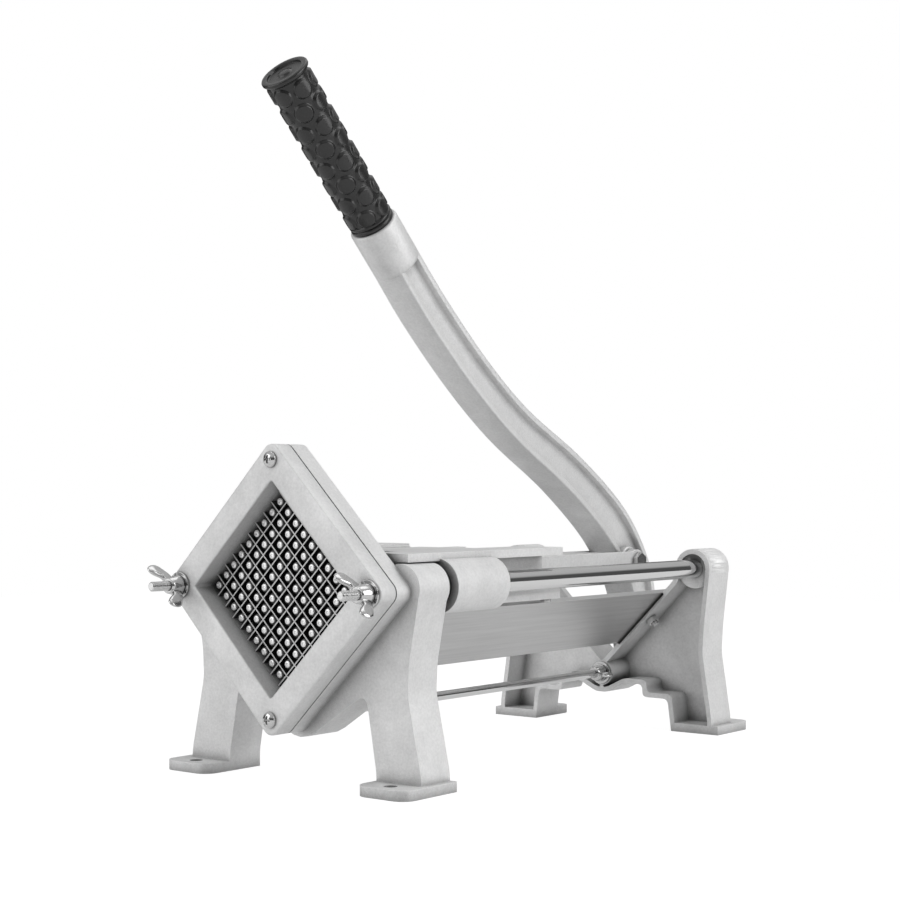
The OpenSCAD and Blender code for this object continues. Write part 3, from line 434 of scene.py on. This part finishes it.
# Painted shade darkens the hollows of cast_aluminium, plated_steel, black_rubber and the finger tips, each
# up to its own width
FINISHES = {
    "cast_aluminium": finish(
        "cast_aluminium", CAST_GRAIN,
        {"Colour": grey(0.96), "Dull Colour": grey(0.62), "Grain Scale": 620.0,
         "Patch Scale": 34.0, "Roughness": 0.58, "Roughness Spread": 0.3},
        metallic=0.5, bump_depth=0.4 * MM, edge_r=0.7 * MM, painted_shade_width=11 * MM),
    "sheet_aluminium": finish(
        "sheet_aluminium", DRAWN_LINES,
        {"Colour": grey(0.72), "Line Colour": grey(0.52), "Across": 260.0, "Along": 9.0,
         "Roughness": 0.4, "Roughness Spread": 0.3},
        metallic=0.75, bump_depth=0.04 * MM, edge_r=0.5 * MM),
    # Painted shade: the blades' sides are coloured much darker than bare steel, for the shade between them
    "blade_steel": finish(
        "blade_steel", DRAWN_LINES,
        {"Colour": grey(0.3), "Line Colour": grey(0.2), "Across": 2500.0, "Along": 60.0,
         "Roughness": 0.35, "Roughness Spread": 0.15},
        metallic=1.0, bump_depth=0.03 * MM),
    "ground_edge": finish(
        "ground_edge", DRAWN_LINES,
        {"Colour": grey(0.8), "Line Colour": grey(0.5), "Across": 2500.0, "Along": 900.0,
         "Roughness": 0.4, "Roughness Spread": 0.15},
        metallic=0.3, bump_depth=0.02 * MM),
    "plated_steel": finish(
        "plated_steel", CAST_GRAIN,
        {"Colour": grey(0.74), "Dull Colour": grey(0.5), "Grain Scale": 900.0,
         "Patch Scale": 160.0, "Roughness": 0.14, "Roughness Spread": 0.12},
        metallic=1.0, bump_depth=0.04 * MM, edge_r=0.3 * MM, painted_shade_width=4 * MM),
    "chromed_rod": finish(
        "chromed_rod", DRAWN_LINES,
        {"Colour": grey(0.78), "Line Colour": grey(0.68), "Across": 2200.0, "Along": 12.0,
         "Roughness": 0.1, "Roughness Spread": 0.06},
        metallic=1.0, bump_depth=0.01 * MM),
    # Painted highlight: the tips are coloured white for the light they reflect; painted shade darkens their
    # dimples
    "tip_with_painted_highlight": finish(
        "tip_with_painted_highlight", CAST_GRAIN,
        {"Colour": grey(1.0), "Dull Colour": grey(0.96), "Grain Scale": 900.0,
         "Patch Scale": 160.0, "Roughness": 0.3, "Roughness Spread": 0.1},
        metallic=0.6, bump_depth=0.02 * MM, painted_shade_width=0.8 * MM),
    "bronze": finish(
        "bronze", CAST_GRAIN,
        {"Colour": (0.55, 0.38, 0.2, 1), "Dull Colour": (0.4, 0.27, 0.15, 1),
         "Grain Scale": 1800.0, "Patch Scale": 90.0, "Roughness": 0.45},
        metallic=1.0, bump_depth=0.1 * MM),
    "black_rubber": finish(
        "black_rubber", CAST_GRAIN,
        {"Colour": grey(0.02), "Dull Colour": grey(0.035), "Grain Scale": 1600.0,
         "Patch Scale": 60.0, "Roughness": 0.24, "Roughness Spread": 0.2},
        metallic=0.0, bump_depth=0.08 * MM, painted_shade_width=3 * MM),
    "black_plastic": finish(
        "black_plastic", CAST_GRAIN,
        {"Colour": grey(0.012), "Dull Colour": grey(0.02), "Grain Scale": 1200.0,
         "Patch Scale": 50.0, "Roughness": 0.42, "Roughness Spread": 0.15},
        metallic=0.0, bump_depth=0.05 * MM),
}
for node_name, slot_name in SLOT_OF.items():
    node_mesh = frame["nodes"][node_name].data
    node_mesh.materials.clear()
    node_mesh.materials.append(FINISHES[slot_name])
print(len(FINISHES), "finishes on", len(SLOT_OF), "nodes")

# %% [markdown]
# ## Smooth castings
# The frame's meshes are loose triangles. Each piece is taken as a copy whose doubled corners
# are merged, so that its round faces shade smoothly and its edges stay where walls meet. The
# finish itself softens those edges, inside corners too, as a casting's mould does.

# %% Smooth a copy of a node
SHARP_ANGLE = math.radians(30)
FLAT_ANGLE = math.radians(0.6)
MERGE = 0.02 * MM


def dress(piece, node):
    """Gives a new piece the body of the node that it stands for, and the finish of that node if it has none;
    hides the node.
    """
    if not piece.data.materials:
        piece.data.materials.append(FINISHES[SLOT_OF[node]])
    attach(piece, BODY_OF[node])
    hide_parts(node)
    return piece


def smooth_copy(node):
    """A copy of a node's mesh with merged corners, smooth but for its edges."""
    mesh = frame["nodes"][node].data.copy()
    mesh.name = node + "_smooth"
    shape = bmesh.new()
    shape.from_mesh(mesh)
    bmesh.ops.remove_doubles(shape, verts=shape.verts, dist=MERGE)
    bmesh.ops.dissolve_limit(shape, angle_limit=FLAT_ANGLE, verts=shape.verts, edges=shape.edges)
    shape.to_mesh(mesh)
    shape.free()
    mesh.shade_smooth()
    mesh.set_sharp_from_angle(angle=SHARP_ANGLE)
    piece = bpy.data.objects.new(node + "_smooth", mesh)
    bpy.context.collection.objects.link(piece)
    return dress(piece, node)


SMOOTHED = ("front_casting", "rear_casting", "carriage", "drawbar", "guide_shoes",
            "trough_panel_left", "trough_panel_right", "guide_rod_left", "guide_rod_right",
            "tie_rod", "rod_end_bolts", "bumper_rings", "stud_washers", "tie_washer",
            "drawbar_pin", "drawbar_bolts", "drawbar_clips", "shoe_screws", "panel_nuts",
            "pivot_bolt", "pivot_nut", "grip_core", "pusher_plate", "pusher_screws")
for node_name in SMOOTHED:
    made = smooth_copy(node_name)
    print(made.name, len(made.data.polygons), "faces")

# %% [markdown]
# ## Small parts from formulas
# A frame leaves threads, domes, cutting edges and grip pads plain. Here each is a grid of
# points worked out by a formula, and one mesh is made from each grid.


# %% Make meshes from grids
FORMED_SHARP_ANGLE = math.radians(38)
TOUCHING = 0.001 * MM


def grid_faces(rows, columns, around):
    """Quads of a grid of rows and columns; around joins the last column to the first."""
    across = columns if around else columns - 1
    row, column = np.meshgrid(np.arange(rows - 1), np.arange(across), indexing="ij")
    ahead = (column + 1) % columns
    low, high = row * columns, (row + 1) * columns
    return np.stack([low + column, low + ahead, high + ahead, high + column], -1).reshape(-1, 4)


def mesh_from(name, points, faces, caps=()):
    """An object from an array of points, an array of quads and lists of end polygons."""
    mesh = bpy.data.meshes.new(name)
    mesh.from_pydata(points.tolist(), [], faces.tolist() + [list(map(int, cap)) for cap in caps])
    mesh.update()
    piece = bpy.data.objects.new(name, mesh)
    bpy.context.collection.objects.link(piece)
    shape = bmesh.new()
    shape.from_mesh(mesh)
    bmesh.ops.remove_doubles(shape, verts=shape.verts, dist=TOUCHING)
    bmesh.ops.recalc_face_normals(shape, faces=shape.faces)
    shape.to_mesh(mesh)
    shape.free()
    mesh.shade_smooth()
    mesh.set_sharp_from_angle(angle=FORMED_SHARP_ANGLE)
    return piece


def standing(points, origin, up, side=(1, 0, 0)):
    """Points moved from their own X, Y, Z to an origin, with Z along up and X near side."""
    up = np.array(up, float) / np.linalg.norm(up)
    side = np.array(side, float) - np.dot(side, up) * up
    side /= np.linalg.norm(side)
    return np.array(origin) + points @ np.stack([side, np.cross(up, side), up])


def turned_rows(profile, columns):
    """Rings of points for a profile of (radius, height) rows: x = r cos a, y = r sin a, z = h."""
    profile = np.array(profile, float)
    angle = np.arange(columns) * 2 * math.pi / columns
    radius, height = profile[:, :1], profile[:, 1:2]
    return np.stack([radius * np.cos(angle), radius * np.sin(angle), height + 0 * angle], -1)


def end_caps(rows, columns):
    """The first and the last row of a grid, as two polygons."""
    last = (rows - 1) * columns
    return [range(columns), range(last, last + columns)]


def turned(name, profile, origin, up, columns=64):
    """A closed turned piece from a profile in millimetres."""
    points = standing(turned_rows(profile, columns).reshape(-1, 3) * MM, origin, up)
    return mesh_from(name, points, grid_faces(len(profile), columns, True), end_caps(len(profile), columns))


def joined(name, pieces):
    """One object from several; the first keeps its place in the scene."""
    shape = bmesh.new()
    for piece in pieces:
        shape.from_mesh(piece.data)
    mesh = bpy.data.meshes.new(name)
    shape.to_mesh(mesh)
    shape.free()
    for piece in pieces:
        old = piece.data
        bpy.data.objects.remove(piece)
        bpy.data.meshes.remove(old)
    mesh.shade_smooth()
    mesh.set_sharp_from_angle(angle=FORMED_SHARP_ANGLE)
    whole = bpy.data.objects.new(name, mesh)
    bpy.context.collection.objects.link(whole)
    return whole


def middle(node):
    """The middle of a node's box."""
    low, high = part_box(node)
    return (np.array(low) + np.array(high)) / 2


def catmull_rom(a, b, c, d, t):
    """The curve from b to c for t from 0 to 1, with a before and d after them."""
    return 0.5 * (2 * b + (c - a) * t + (2 * a - 5 * b + 4 * c - d) * t ** 2
                  + (3 * b - a - 3 * c + d) * t ** 3)


def smoothstep(value):
    """0 below 0, 1 above 1, and 3v² - 2v³ between."""
    value = np.clip(value, 0, 1)
    return value * value * (3 - 2 * value)


# %% [markdown]
# ### Blade frame
# The frame around the blades is a square ring. Its outline is a square with rounded corners.
# Its section runs from the opening over the front face to a small step at the rear edge, with
# a chamfer at each corner. All outlines take the same count of points, so rows just join.

# %% Cast the blade frame
FRAME_SIDE = 124.0
OPENING = 90.0
OUTER_R = 7.0
INNER_R = 1.6
CORNER_POINTS = 12
# Rows of (outwards from the square, depth behind the front face)
INNER_SECTION = [(0.0, 13.5), (0.0, 0.9), (0.15, 0.45), (0.45, 0.15), (0.9, 0.0)]
OUTER_SECTION = [(-1.4, 0.0), (-0.6, 0.12), (-0.15, 0.5), (0.0, 1.3), (0.0, 12.4),
                 (-0.15, 12.7), (-0.45, 12.85), (-1.6, 12.9), (-1.6, 13.5)]


def square_outline(side, r):
    """A square on its corner with rounded corners, as points from its right-hand corner on."""
    turn = np.linspace(0, math.pi / 2, CORNER_POINTS)
    corner = side / 2 - r + r * np.stack([np.cos(turn), np.sin(turn)], -1)
    quarters = []
    for number in range(4):
        a = (number - 0.5) * math.pi / 2
        quarters.append(corner @ np.array([[math.cos(a), math.sin(a)], [-math.sin(a), math.cos(a)]]))
    return np.concatenate(quarters)


def cast_blade_frame():
    """Rows of squares from the opening's rear edge over the front face to the frame's rear edge."""
    rows = []
    for side, r, section in ((OPENING, INNER_R, INNER_SECTION), (FRAME_SIDE, OUTER_R, OUTER_SECTION)):
        for grow, depth in section:
            flat = square_outline(side + 2 * grow, r + grow)
            rows.append(np.stack([flat[:, 0], depth + 0 * flat[:, 0], flat[:, 1]], -1))
    axis = middle("blade_frame")
    points = np.array([axis[0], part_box("blade_frame")[0][1], axis[2]]) + np.concatenate(rows) * MM
    columns = 4 * CORNER_POINTS
    front, back = np.arange(columns), (len(rows) - 1) * columns + np.arange(columns)
    closing = np.stack([back, np.roll(back, -1), np.roll(front, -1), front], -1)
    faces = np.concatenate([grid_faces(len(rows), columns, True), closing])
    return dress(mesh_from("blade_frame_cast", points, faces), "blade_frame")


cast_blade_frame()
print("blade frame cast")

# %% [markdown]
# ### Lever
# The lever is a swept I-section. Its middle line and its depth are Catmull-Rom curves through
# a few points, given as shares of the reach, the rise and the depth. Each row of the sweep is
# the section, moved out along the line's normal n: point = line + n * (side * depth / 2 - a).

# %% Cast the lever
LEVER_REACH = 284.0
LEVER_RISE = 280.5
LEVER_DEPTH = 26.0
LEVER_SHARES = [(0, 0), (0.01, 0.106), (0.032, 0.223), (0.088, 0.318), (0.183, 0.413),
                (0.356, 0.527), (0.570, 0.640), (0.732, 0.753), (0.891, 0.890), (1, 1)]
DEPTH_SHARES = [0.8, 0.98, 1.1, 1.18, 1.16, 1.06, 0.96, 0.94, 0.94, 0.92]
WIDTH_SHARES = [1.0, 1.0, 1.0, 1.0, 1.0, 1.0, 0.98, 0.95, 0.92, 0.9]
LEVER_STEPS = 12
# One quarter of the section: (x, distance in from the flange's outer face)
QUARTER = [(0.0, 0.0), (11.3, 0.0), (12.0, 0.2), (12.4, 0.6), (12.5, 1.2), (12.5, 3.4),
           (12.3, 4.0), (11.8, 4.3), (8.4, 4.7), (7.4, 5.0), (6.8, 5.6), (6.6, 6.6)]
# Rows of (radius, height above the lever's end)
COLLAR_PROFILE = [(0.02, -3.6), (13.2, -3.6), (14.9, -3.1), (15.8, -2.0), (16.0, -0.6), (16.0, 28.6),
                  (15.7, 29.5), (15.0, 30.0), (8.6, 30.0), (8.05, 29.4), (8.05, 8.0), (0.02, 8.0)]
COLLAR_COLUMNS = 96
BOSS_R = 11.0
BOSS_L = 25.0
BOSS_EDGE = 0.8
PIVOT_BORE_R = 8.0
BOLT_BORE_R = 4.1


def curve(points):
    """A Catmull-Rom curve through points that also ends at its end points."""
    points = np.array(points, float)
    padded = np.concatenate([points[:1], points, points[-1:]])
    a, b, c, d = (padded[k:len(points) - 1 + k, None] for k in range(4))
    t = (np.arange(LEVER_STEPS) / LEVER_STEPS)[None, :, None]
    body = catmull_rom(a, b, c, d, t)
    return np.concatenate([body.reshape(-1, points.shape[1]), points[-1:]])


def lever_beam():
    """The swept I-section from the pivot to the collar."""
    pivot = middle("pivot_bush")
    shares = curve(LEVER_SHARES)
    line = np.stack([0 * shares[:, 0], -shares[:, 0] * LEVER_REACH, shares[:, 1] * LEVER_RISE], -1)
    tangent = np.gradient(line, axis=0)
    tangent /= np.linalg.norm(tangent, axis=1)[:, None]
    normal = np.stack([0 * tangent[:, 0], -tangent[:, 2], tangent[:, 1]], -1)
    half_depth = curve([(s,) for s in DEPTH_SHARES]) * LEVER_DEPTH / 2
    width = curve([(s,) for s in WIDTH_SHARES])
    quarter = np.array(QUARTER)
    x = np.concatenate([quarter[:, 0], quarter[::-1, 0], -quarter[1:, 0], -quarter[:0:-1, 0]])
    inset = np.concatenate([quarter[:, 1], quarter[::-1, 1], quarter[1:, 1], quarter[:0:-1, 1]])
    count = len(quarter)
    side = np.concatenate([np.ones(count), -np.ones(2 * count - 1), np.ones(count - 1)])
    out = side * (half_depth - inset)
    rows = line[:, None] + out[..., None] * normal[:, None]
    rows[..., 0] += x * width
    points = pivot + rows.reshape(-1, 3) * MM
    return mesh_from("lever_beam", points, grid_faces(len(line), len(x), True), end_caps(len(line), len(x)))


def bored_boss(name, centre, bore_r, columns=64):
    """A bored boss along X with small chamfers."""
    half, shoulder = BOSS_L / 2, BOSS_R - BOSS_EDGE
    profile = [(bore_r, -half), (shoulder, -half), (BOSS_R, -half + BOSS_EDGE),
               (BOSS_R, half - BOSS_EDGE), (shoulder, half), (bore_r, half)]
    rings = turned_rows(profile, columns).reshape(-1, 3)
    faces = grid_faces(len(profile), columns, True)
    first, last = np.arange(columns), (len(profile) - 1) * columns + np.arange(columns)
    closing = np.stack([last, np.roll(last, -1), np.roll(first, -1), first], -1)
    points = standing(rings * MM, centre, (1, 0, 0), (0, 1, 0))
    return mesh_from(name, points, np.concatenate([faces, closing]))


def cast_lever():
    """Beam, both bosses and the collar as one casting."""
    pivot, bolt = middle("pivot_bush"), middle("drawbar_bolts")
    top = pivot + np.array((0, -LEVER_REACH, LEVER_RISE)) * MM
    pieces = [
        lever_beam(),
        bored_boss("pivot_boss", pivot, PIVOT_BORE_R),
        bored_boss("bolt_boss", bolt, BOLT_BORE_R),
        turned("collar", COLLAR_PROFILE, top, GRIP_AXIS, COLLAR_COLUMNS),
    ]
    return dress(joined("lever_cast", pieces), "lever")


lever = cast_lever()
print("lever", len(lever.data.polygons), "faces")

# %% [markdown]
# ### Grip
# The rubber is a sleeve with rows of round pads. Twelve columns stand around it, and each
# second one is shifted by half a pitch, so the pads pack like a honeycomb. Unrolled, the
# height of a point depends only on its distance d from the nearest pad's middle:
# h(d) = rise * smoothstep((foot - d) / (foot - top)). Two ridges close the foot.

# %% Mould the grip
GRIP_R = 13.2
GRIP_L = 110.0
PAD_COLUMNS = 12
PAD_ROWS = 4
PAD_PITCH = 26.5
PAD_START = 6.8
PAD_TOP_R = 4.6
PAD_FOOT_R = 6.6
PAD_RISE = 1.5
PAD_TURN = 0.62
# The two ridges at the foot: heights, half widths and rise
RIDGES = ((1.6, 1.7), (4.6, 1.3))
RIDGE_RISE = 1.3
RIDGES_END = 5.5


def pad_height(angle, down):
    """Height of the pads at an angle around and a distance down from the cap."""
    spacing = 2 * math.pi / PAD_COLUMNS
    best = np.full(np.broadcast(angle, down).shape, 1e9)
    for column in range(PAD_COLUMNS):
        aside = (angle - PAD_TURN - column * spacing + math.pi) % (2 * math.pi) - math.pi
        phase = PAD_START + (column % 2) * PAD_PITCH / 2
        row = np.clip(np.round((down - phase) / PAD_PITCH), 0, PAD_ROWS - 1)
        best = np.minimum(best, np.hypot(aside * GRIP_R, down - phase - row * PAD_PITCH))
    return PAD_RISE * smoothstep((PAD_FOOT_R - best) / (PAD_FOOT_R - PAD_TOP_R))


def moulded_grip(rows=340, columns=280):
    """The padded sleeve: radius = base + pads + ridges, with no pads among the ridges."""
    angle = np.arange(columns) * 2 * math.pi / columns
    height = np.linspace(0, GRIP_L, rows)[:, None]
    down = GRIP_L - height
    radius = GRIP_R + smoothstep(height - RIDGES_END) * pad_height(angle, down)
    for place, half in RIDGES:
        radius = radius + RIDGE_RISE * np.sqrt(np.clip(1 - ((height - place) / half) ** 2, 0, 1))
    rings = np.stack([radius * np.cos(angle), radius * np.sin(angle), height + 0 * angle], -1)
    start = middle("grip") - GRIP_AXIS * GRIP_L / 2 * MM
    points = standing(rings.reshape(-1, 3) * MM, start, GRIP_AXIS)
    return mesh_from("moulded_grip", points, grid_faces(rows, columns, True), end_caps(rows, columns))


grip = dress(moulded_grip(), "grip")
CAP_PROFILE = [(13.4, 0), (13.8, 0.6), (15.0, 1.4), (15.4, 2.0), (15.4, 3.2), (15.0, 3.8), (14.4, 4.0),
               (12.2, 4.0), (11.7, 3.7), (11.4, 2.6), (10.8, 2.3), (5.0, 2.3), (4.4, 2.5), (3.8, 3.2),
               (3.0, 3.4), (0.4, 3.4)]
cap_start = middle("grip") + GRIP_AXIS * GRIP_L / 2 * MM
dress(turned("moulded_cap", CAP_PROFILE, cap_start, GRIP_AXIS), "grip_cap")
print("grip", len(grip.data.polygons), "faces")

# %% [markdown]
# ### Wing nuts
# A wing is a pillow on a round outline: thick in the middle and thin at its rim. Its section
# follows z = t * sqrt(1 - q^4), where q runs from 0 in the middle to 1 at the rim.


# %% Form the wing nuts
HUB_PROFILE = [(2.6, 0), (5.6, 0), (6.0, 0.5), (5.9, 3.0), (5.2, 6.5), (4.7, 8.6), (4.2, 9.0), (2.6, 9.0)]
WING_OUTLINE = [(2.5, 2.0), (7.0, 1.9), (12.0, 4.6), (16.2, 8.0), (17.0, 11.6), (15.4, 15.2),
                (12.4, 15.9), (9.6, 13.4), (7.2, 9.8), (5.0, 8.4), (2.5, 8.2)]
WING_CENTRE = (9.5, 8.0)
WING_HALF_T = 1.7
WING_RINGS = 19
WING_END = 0.02


def rounded_loop(points, steps=6):
    """A closed Catmull-Rom curve through points."""
    here = np.array(points, float)
    before, after, later = np.roll(here, 1, 0), np.roll(here, -1, 0), np.roll(here, -2, 0)
    t = (np.arange(steps) / steps)[None, :, None]
    a, b, c, d = (p[:, None, :] for p in (before, here, after, later))
    return catmull_rom(a, b, c, d, t).reshape(-1, 2)


def wing(side):
    """One wing, as a pillow between its outline and its centre, on both faces."""
    outline = rounded_loop(WING_OUTLINE)
    turn = np.linspace(WING_END, math.pi - WING_END, WING_RINGS)
    share, face = np.sin(turn), np.cos(turn)
    flat = np.array(WING_CENTRE) + share[:, None, None] * (outline - np.array(WING_CENTRE))
    thick = WING_HALF_T * np.sign(face) * np.sqrt(1 - share ** 4)
    rings = np.stack([side * flat[..., 0], thick[:, None] + 0 * flat[..., 0], flat[..., 1]], -1)
    columns = len(outline)
    return rings.reshape(-1, 3), grid_faces(WING_RINGS, columns, True), end_caps(WING_RINGS, columns)


def wing_nut(node, tilt):
    """A wing nut in front of a node's seat, its wings turned about -Y by tilt."""
    seat = (middle(node)[0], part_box(node)[1][1], middle(node)[2])
    spread = (math.cos(tilt), 0, -math.sin(tilt))
    pieces = [turned(node + "_hub", HUB_PROFILE, seat, (0, -1, 0), 48)]
    for side in (-1, 1):
        points, faces, caps = wing(side)
        placed = standing(points * MM, seat, (0, -1, 0), spread)
        pieces.append(mesh_from(node + "_wing", placed, faces, caps))
    return dress(joined(node + "_formed", pieces), node)


for node_name, nut_tilt in (("wing_nut_left", LEAN), ("wing_nut_right", LEAN), ("tie_wing_nut", 0)):
    print(wing_nut(node_name, nut_tilt).name)

# %% [markdown]
# ### Cross-head screws
# The head is a dome over a disc: z = rim + dome * (1 - (r/R)^2.4). The driver's cross is cut
# from it where a point lies near either bar of the cross, less deep towards the bars' ends.


# %% Turn the screw heads
HEAD_R = 4.75
HEAD_RIM = 1.4
HEAD_DOME = 2.0
HEAD_EDGE = 0.2
# The cross: (distance where it ends, width of its slope) across a bar, along it and at its core
CROSS_ACROSS = (0.75, 0.25)
CROSS_ALONG = (2.6, 0.6)
CROSS_CORE = (1.6, 1.2)
CROSS_DEPTH = 1.7
CORE_SHARE = 0.4
FIRST_TURN = 0.35
NEXT_TURN = 0.5
SHANK_R = 2.0
SHANK_TIP_R = 1.4


def inside(distance, limits):
    """1 nearer than the limit, 0 farther, with a slope before it."""
    return smoothstep((limits[0] - distance) / limits[1])


def screw_head(name, seat, turn, rings=44, columns=96):
    """A domed head that faces -Y, with a cross recess."""
    domed = np.linspace(HEAD_R - 2 * HEAD_EDGE, 0.02, rings)
    radius = np.concatenate([[HEAD_R, HEAD_R, HEAD_R - 0.75 * HEAD_EDGE], domed])[:, None]
    angle = np.arange(columns) * 2 * math.pi / columns + turn
    height = HEAD_RIM + HEAD_DOME * (1 - np.clip(radius / HEAD_R, 0, 1) ** 2.4)
    height[0] = 0
    height[1] = HEAD_RIM - HEAD_EDGE
    along, aside = np.abs(radius * np.cos(angle)), np.abs(radius * np.sin(angle))
    near, far = np.minimum(along, aside), np.maximum(along, aside)
    core = 1 - CORE_SHARE + CORE_SHARE * inside(far, CROSS_CORE)
    recess = CROSS_DEPTH * inside(near, CROSS_ACROSS) * inside(far, CROSS_ALONG) * core
    points = np.stack([radius * np.cos(angle), radius * np.sin(angle), height - recess], -1).reshape(-1, 3)
    placed = standing(points * MM, seat, (0, -1, 0))
    return mesh_from(name, placed, grid_faces(len(radius), columns, True), end_caps(len(radius), columns))


def frame_screws():
    """Both corner screws: heads in front of the frame, shanks in it."""
    low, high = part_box("frame_screws")
    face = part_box("blade_frame")[0][1]
    length = (high[1] - face) / MM
    shank = [(SHANK_R, 0), (SHANK_R, length - 1), (SHANK_TIP_R, length)]
    pieces = []
    for number, z in enumerate((low[2] + HEAD_R * MM, high[2] - HEAD_R * MM)):
        pieces.append(screw_head("head_%d" % number, (0, face, z), FIRST_TURN + NEXT_TURN * number))
        pieces.append(turned("shank_%d" % number, shank, (0, face, z), (0, 1, 0), 24))
    return dress(joined("frame_screws_formed", pieces), "frame_screws")


print(frame_screws().name)

# %% [markdown]
# ### Threads
# A thread is a surface whose radius depends on the height less the turn:
# r = R - depth * triangle(height / pitch - angle / 2 pi).


# %% Cut the threads
STUD_R = 3.0
ROWS_PER_TURN = 6
END_CHAMFER = 0.9


def threaded(name, origin, up, length, r, pitch=1.0, depth=0.5, columns=32):
    """A threaded rod with a chamfered far end; origin and length in metres, the rest in mm."""
    rows = int(length / MM / pitch * ROWS_PER_TURN)
    height = np.linspace(0, length / MM, rows)[:, None]
    angle = np.arange(columns) * 2 * math.pi / columns
    phase = (height / pitch - angle / (2 * math.pi)) % 1.0
    radius = r - depth * np.abs(2 * phase - 1)
    radius = np.minimum(radius, r - END_CHAMFER + (length / MM - height))
    rings = np.stack([radius * np.cos(angle), radius * np.sin(angle), height + 0 * angle], -1)
    points = standing(rings.reshape(-1, 3) * MM, origin, up)
    return mesh_from(name, points, grid_faces(rows, columns, True), end_caps(rows, columns))


def frame_studs():
    """The studs at the frame's side corners, threaded over their whole length."""
    low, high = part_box("frame_studs")
    pieces = []
    for x in (low[0] + STUD_R * MM, high[0] - STUD_R * MM):
        start = (x, high[1], middle("frame_studs")[2])
        pieces.append(threaded("stud", start, (0, -1, 0), high[1] - low[1], STUD_R))
    return dress(joined("frame_studs_formed", pieces), "frame_studs")


print(frame_studs().name)

# %% [markdown]
# ### Blades
# Nine blades each way are slotted half and half into each other. Only their front edges are
# ground bright; their sides are painted dark steel, as shade. The face's direction decides which finish it
# takes.


# %% Grind the blades' front edges
FORWARD = -0.9


def ground_blades(node):
    """A node's blades with a bright finish on each face that looks forwards."""
    piece = smooth_copy(node)
    piece.data.materials.append(FINISHES["ground_edge"])
    for face in piece.data.polygons:
        face.material_index = int(face.normal.y < FORWARD)
    return piece


for node_name in ("blades_rising", "blades_falling"):
    print(node_name, len(ground_blades(node_name).data.polygons), "faces")

# %% [markdown]
# ### Pusher fingers
# A hundred fingers stand on the pusher, one for each cell. Each is black with a rounded
# shoulder, and a tip with a small dimple sits in its end. The tip is coloured white as a painted highlight,
# and its dimple is darkened as painted shade.

# %% Set out the fingers and their tips
FINGER_PROFILE = [(1.2, 0), (2.7, 0), (3.0, 0.15), (3.2, 0.6), (3.2, 25.0), (1.5, 25.0), (1.5, 30.5)]
TIP_PROFILE = [(0.9, 5.0), (0.9, 1.1), (2.1, 1.0), (2.2, 0.75), (2.15, 0.45), (1.9, 0.18),
               (1.5, 0.03), (1.0, 0.0), (0.8, 0.2), (0.6, 0.45), (0.02, 0.5)]
CELLS = 10
CELL = 9.0
FINGER_COLUMNS = 20


def at_cells(name, node, profile, columns, look=None):
    """Copies of a turned profile, one at the middle of each cell; look names another finish."""
    rings = turned_rows(profile, columns).reshape(-1, 3) * MM
    one = standing(rings, (0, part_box(node)[0][1], 0), (0, 1, 0))
    step = (np.arange(CELLS) - (CELLS - 1) / 2) * CELL * MM / math.sqrt(2)
    i, j = (a.reshape(-1) for a in np.meshgrid(step, step))
    places = np.stack([i + j, 0 * i, j - i + middle(node)[2]], -1)
    points = (one[None] + places[:, None]).reshape(-1, 3)
    first = np.arange(CELLS ** 2) * len(one)
    faces = (grid_faces(len(profile), columns, True)[None] + first[:, None, None]).reshape(-1, 4)
    ends = [start + np.array(cap) for start in first for cap in end_caps(len(profile), columns)]
    made = mesh_from(name, points, faces, ends)
    if look:
        made.data.materials.append(FINISHES[look])
    return dress(made, node)


for finger_part in (at_cells("fingers", "pusher_pins", FINGER_PROFILE, FINGER_COLUMNS),
                    at_cells("finger_tips", "pin_tips", TIP_PROFILE, FINGER_COLUMNS, "tip_with_painted_highlight")):
    print(finger_part.name, len(finger_part.data.polygons), "faces")
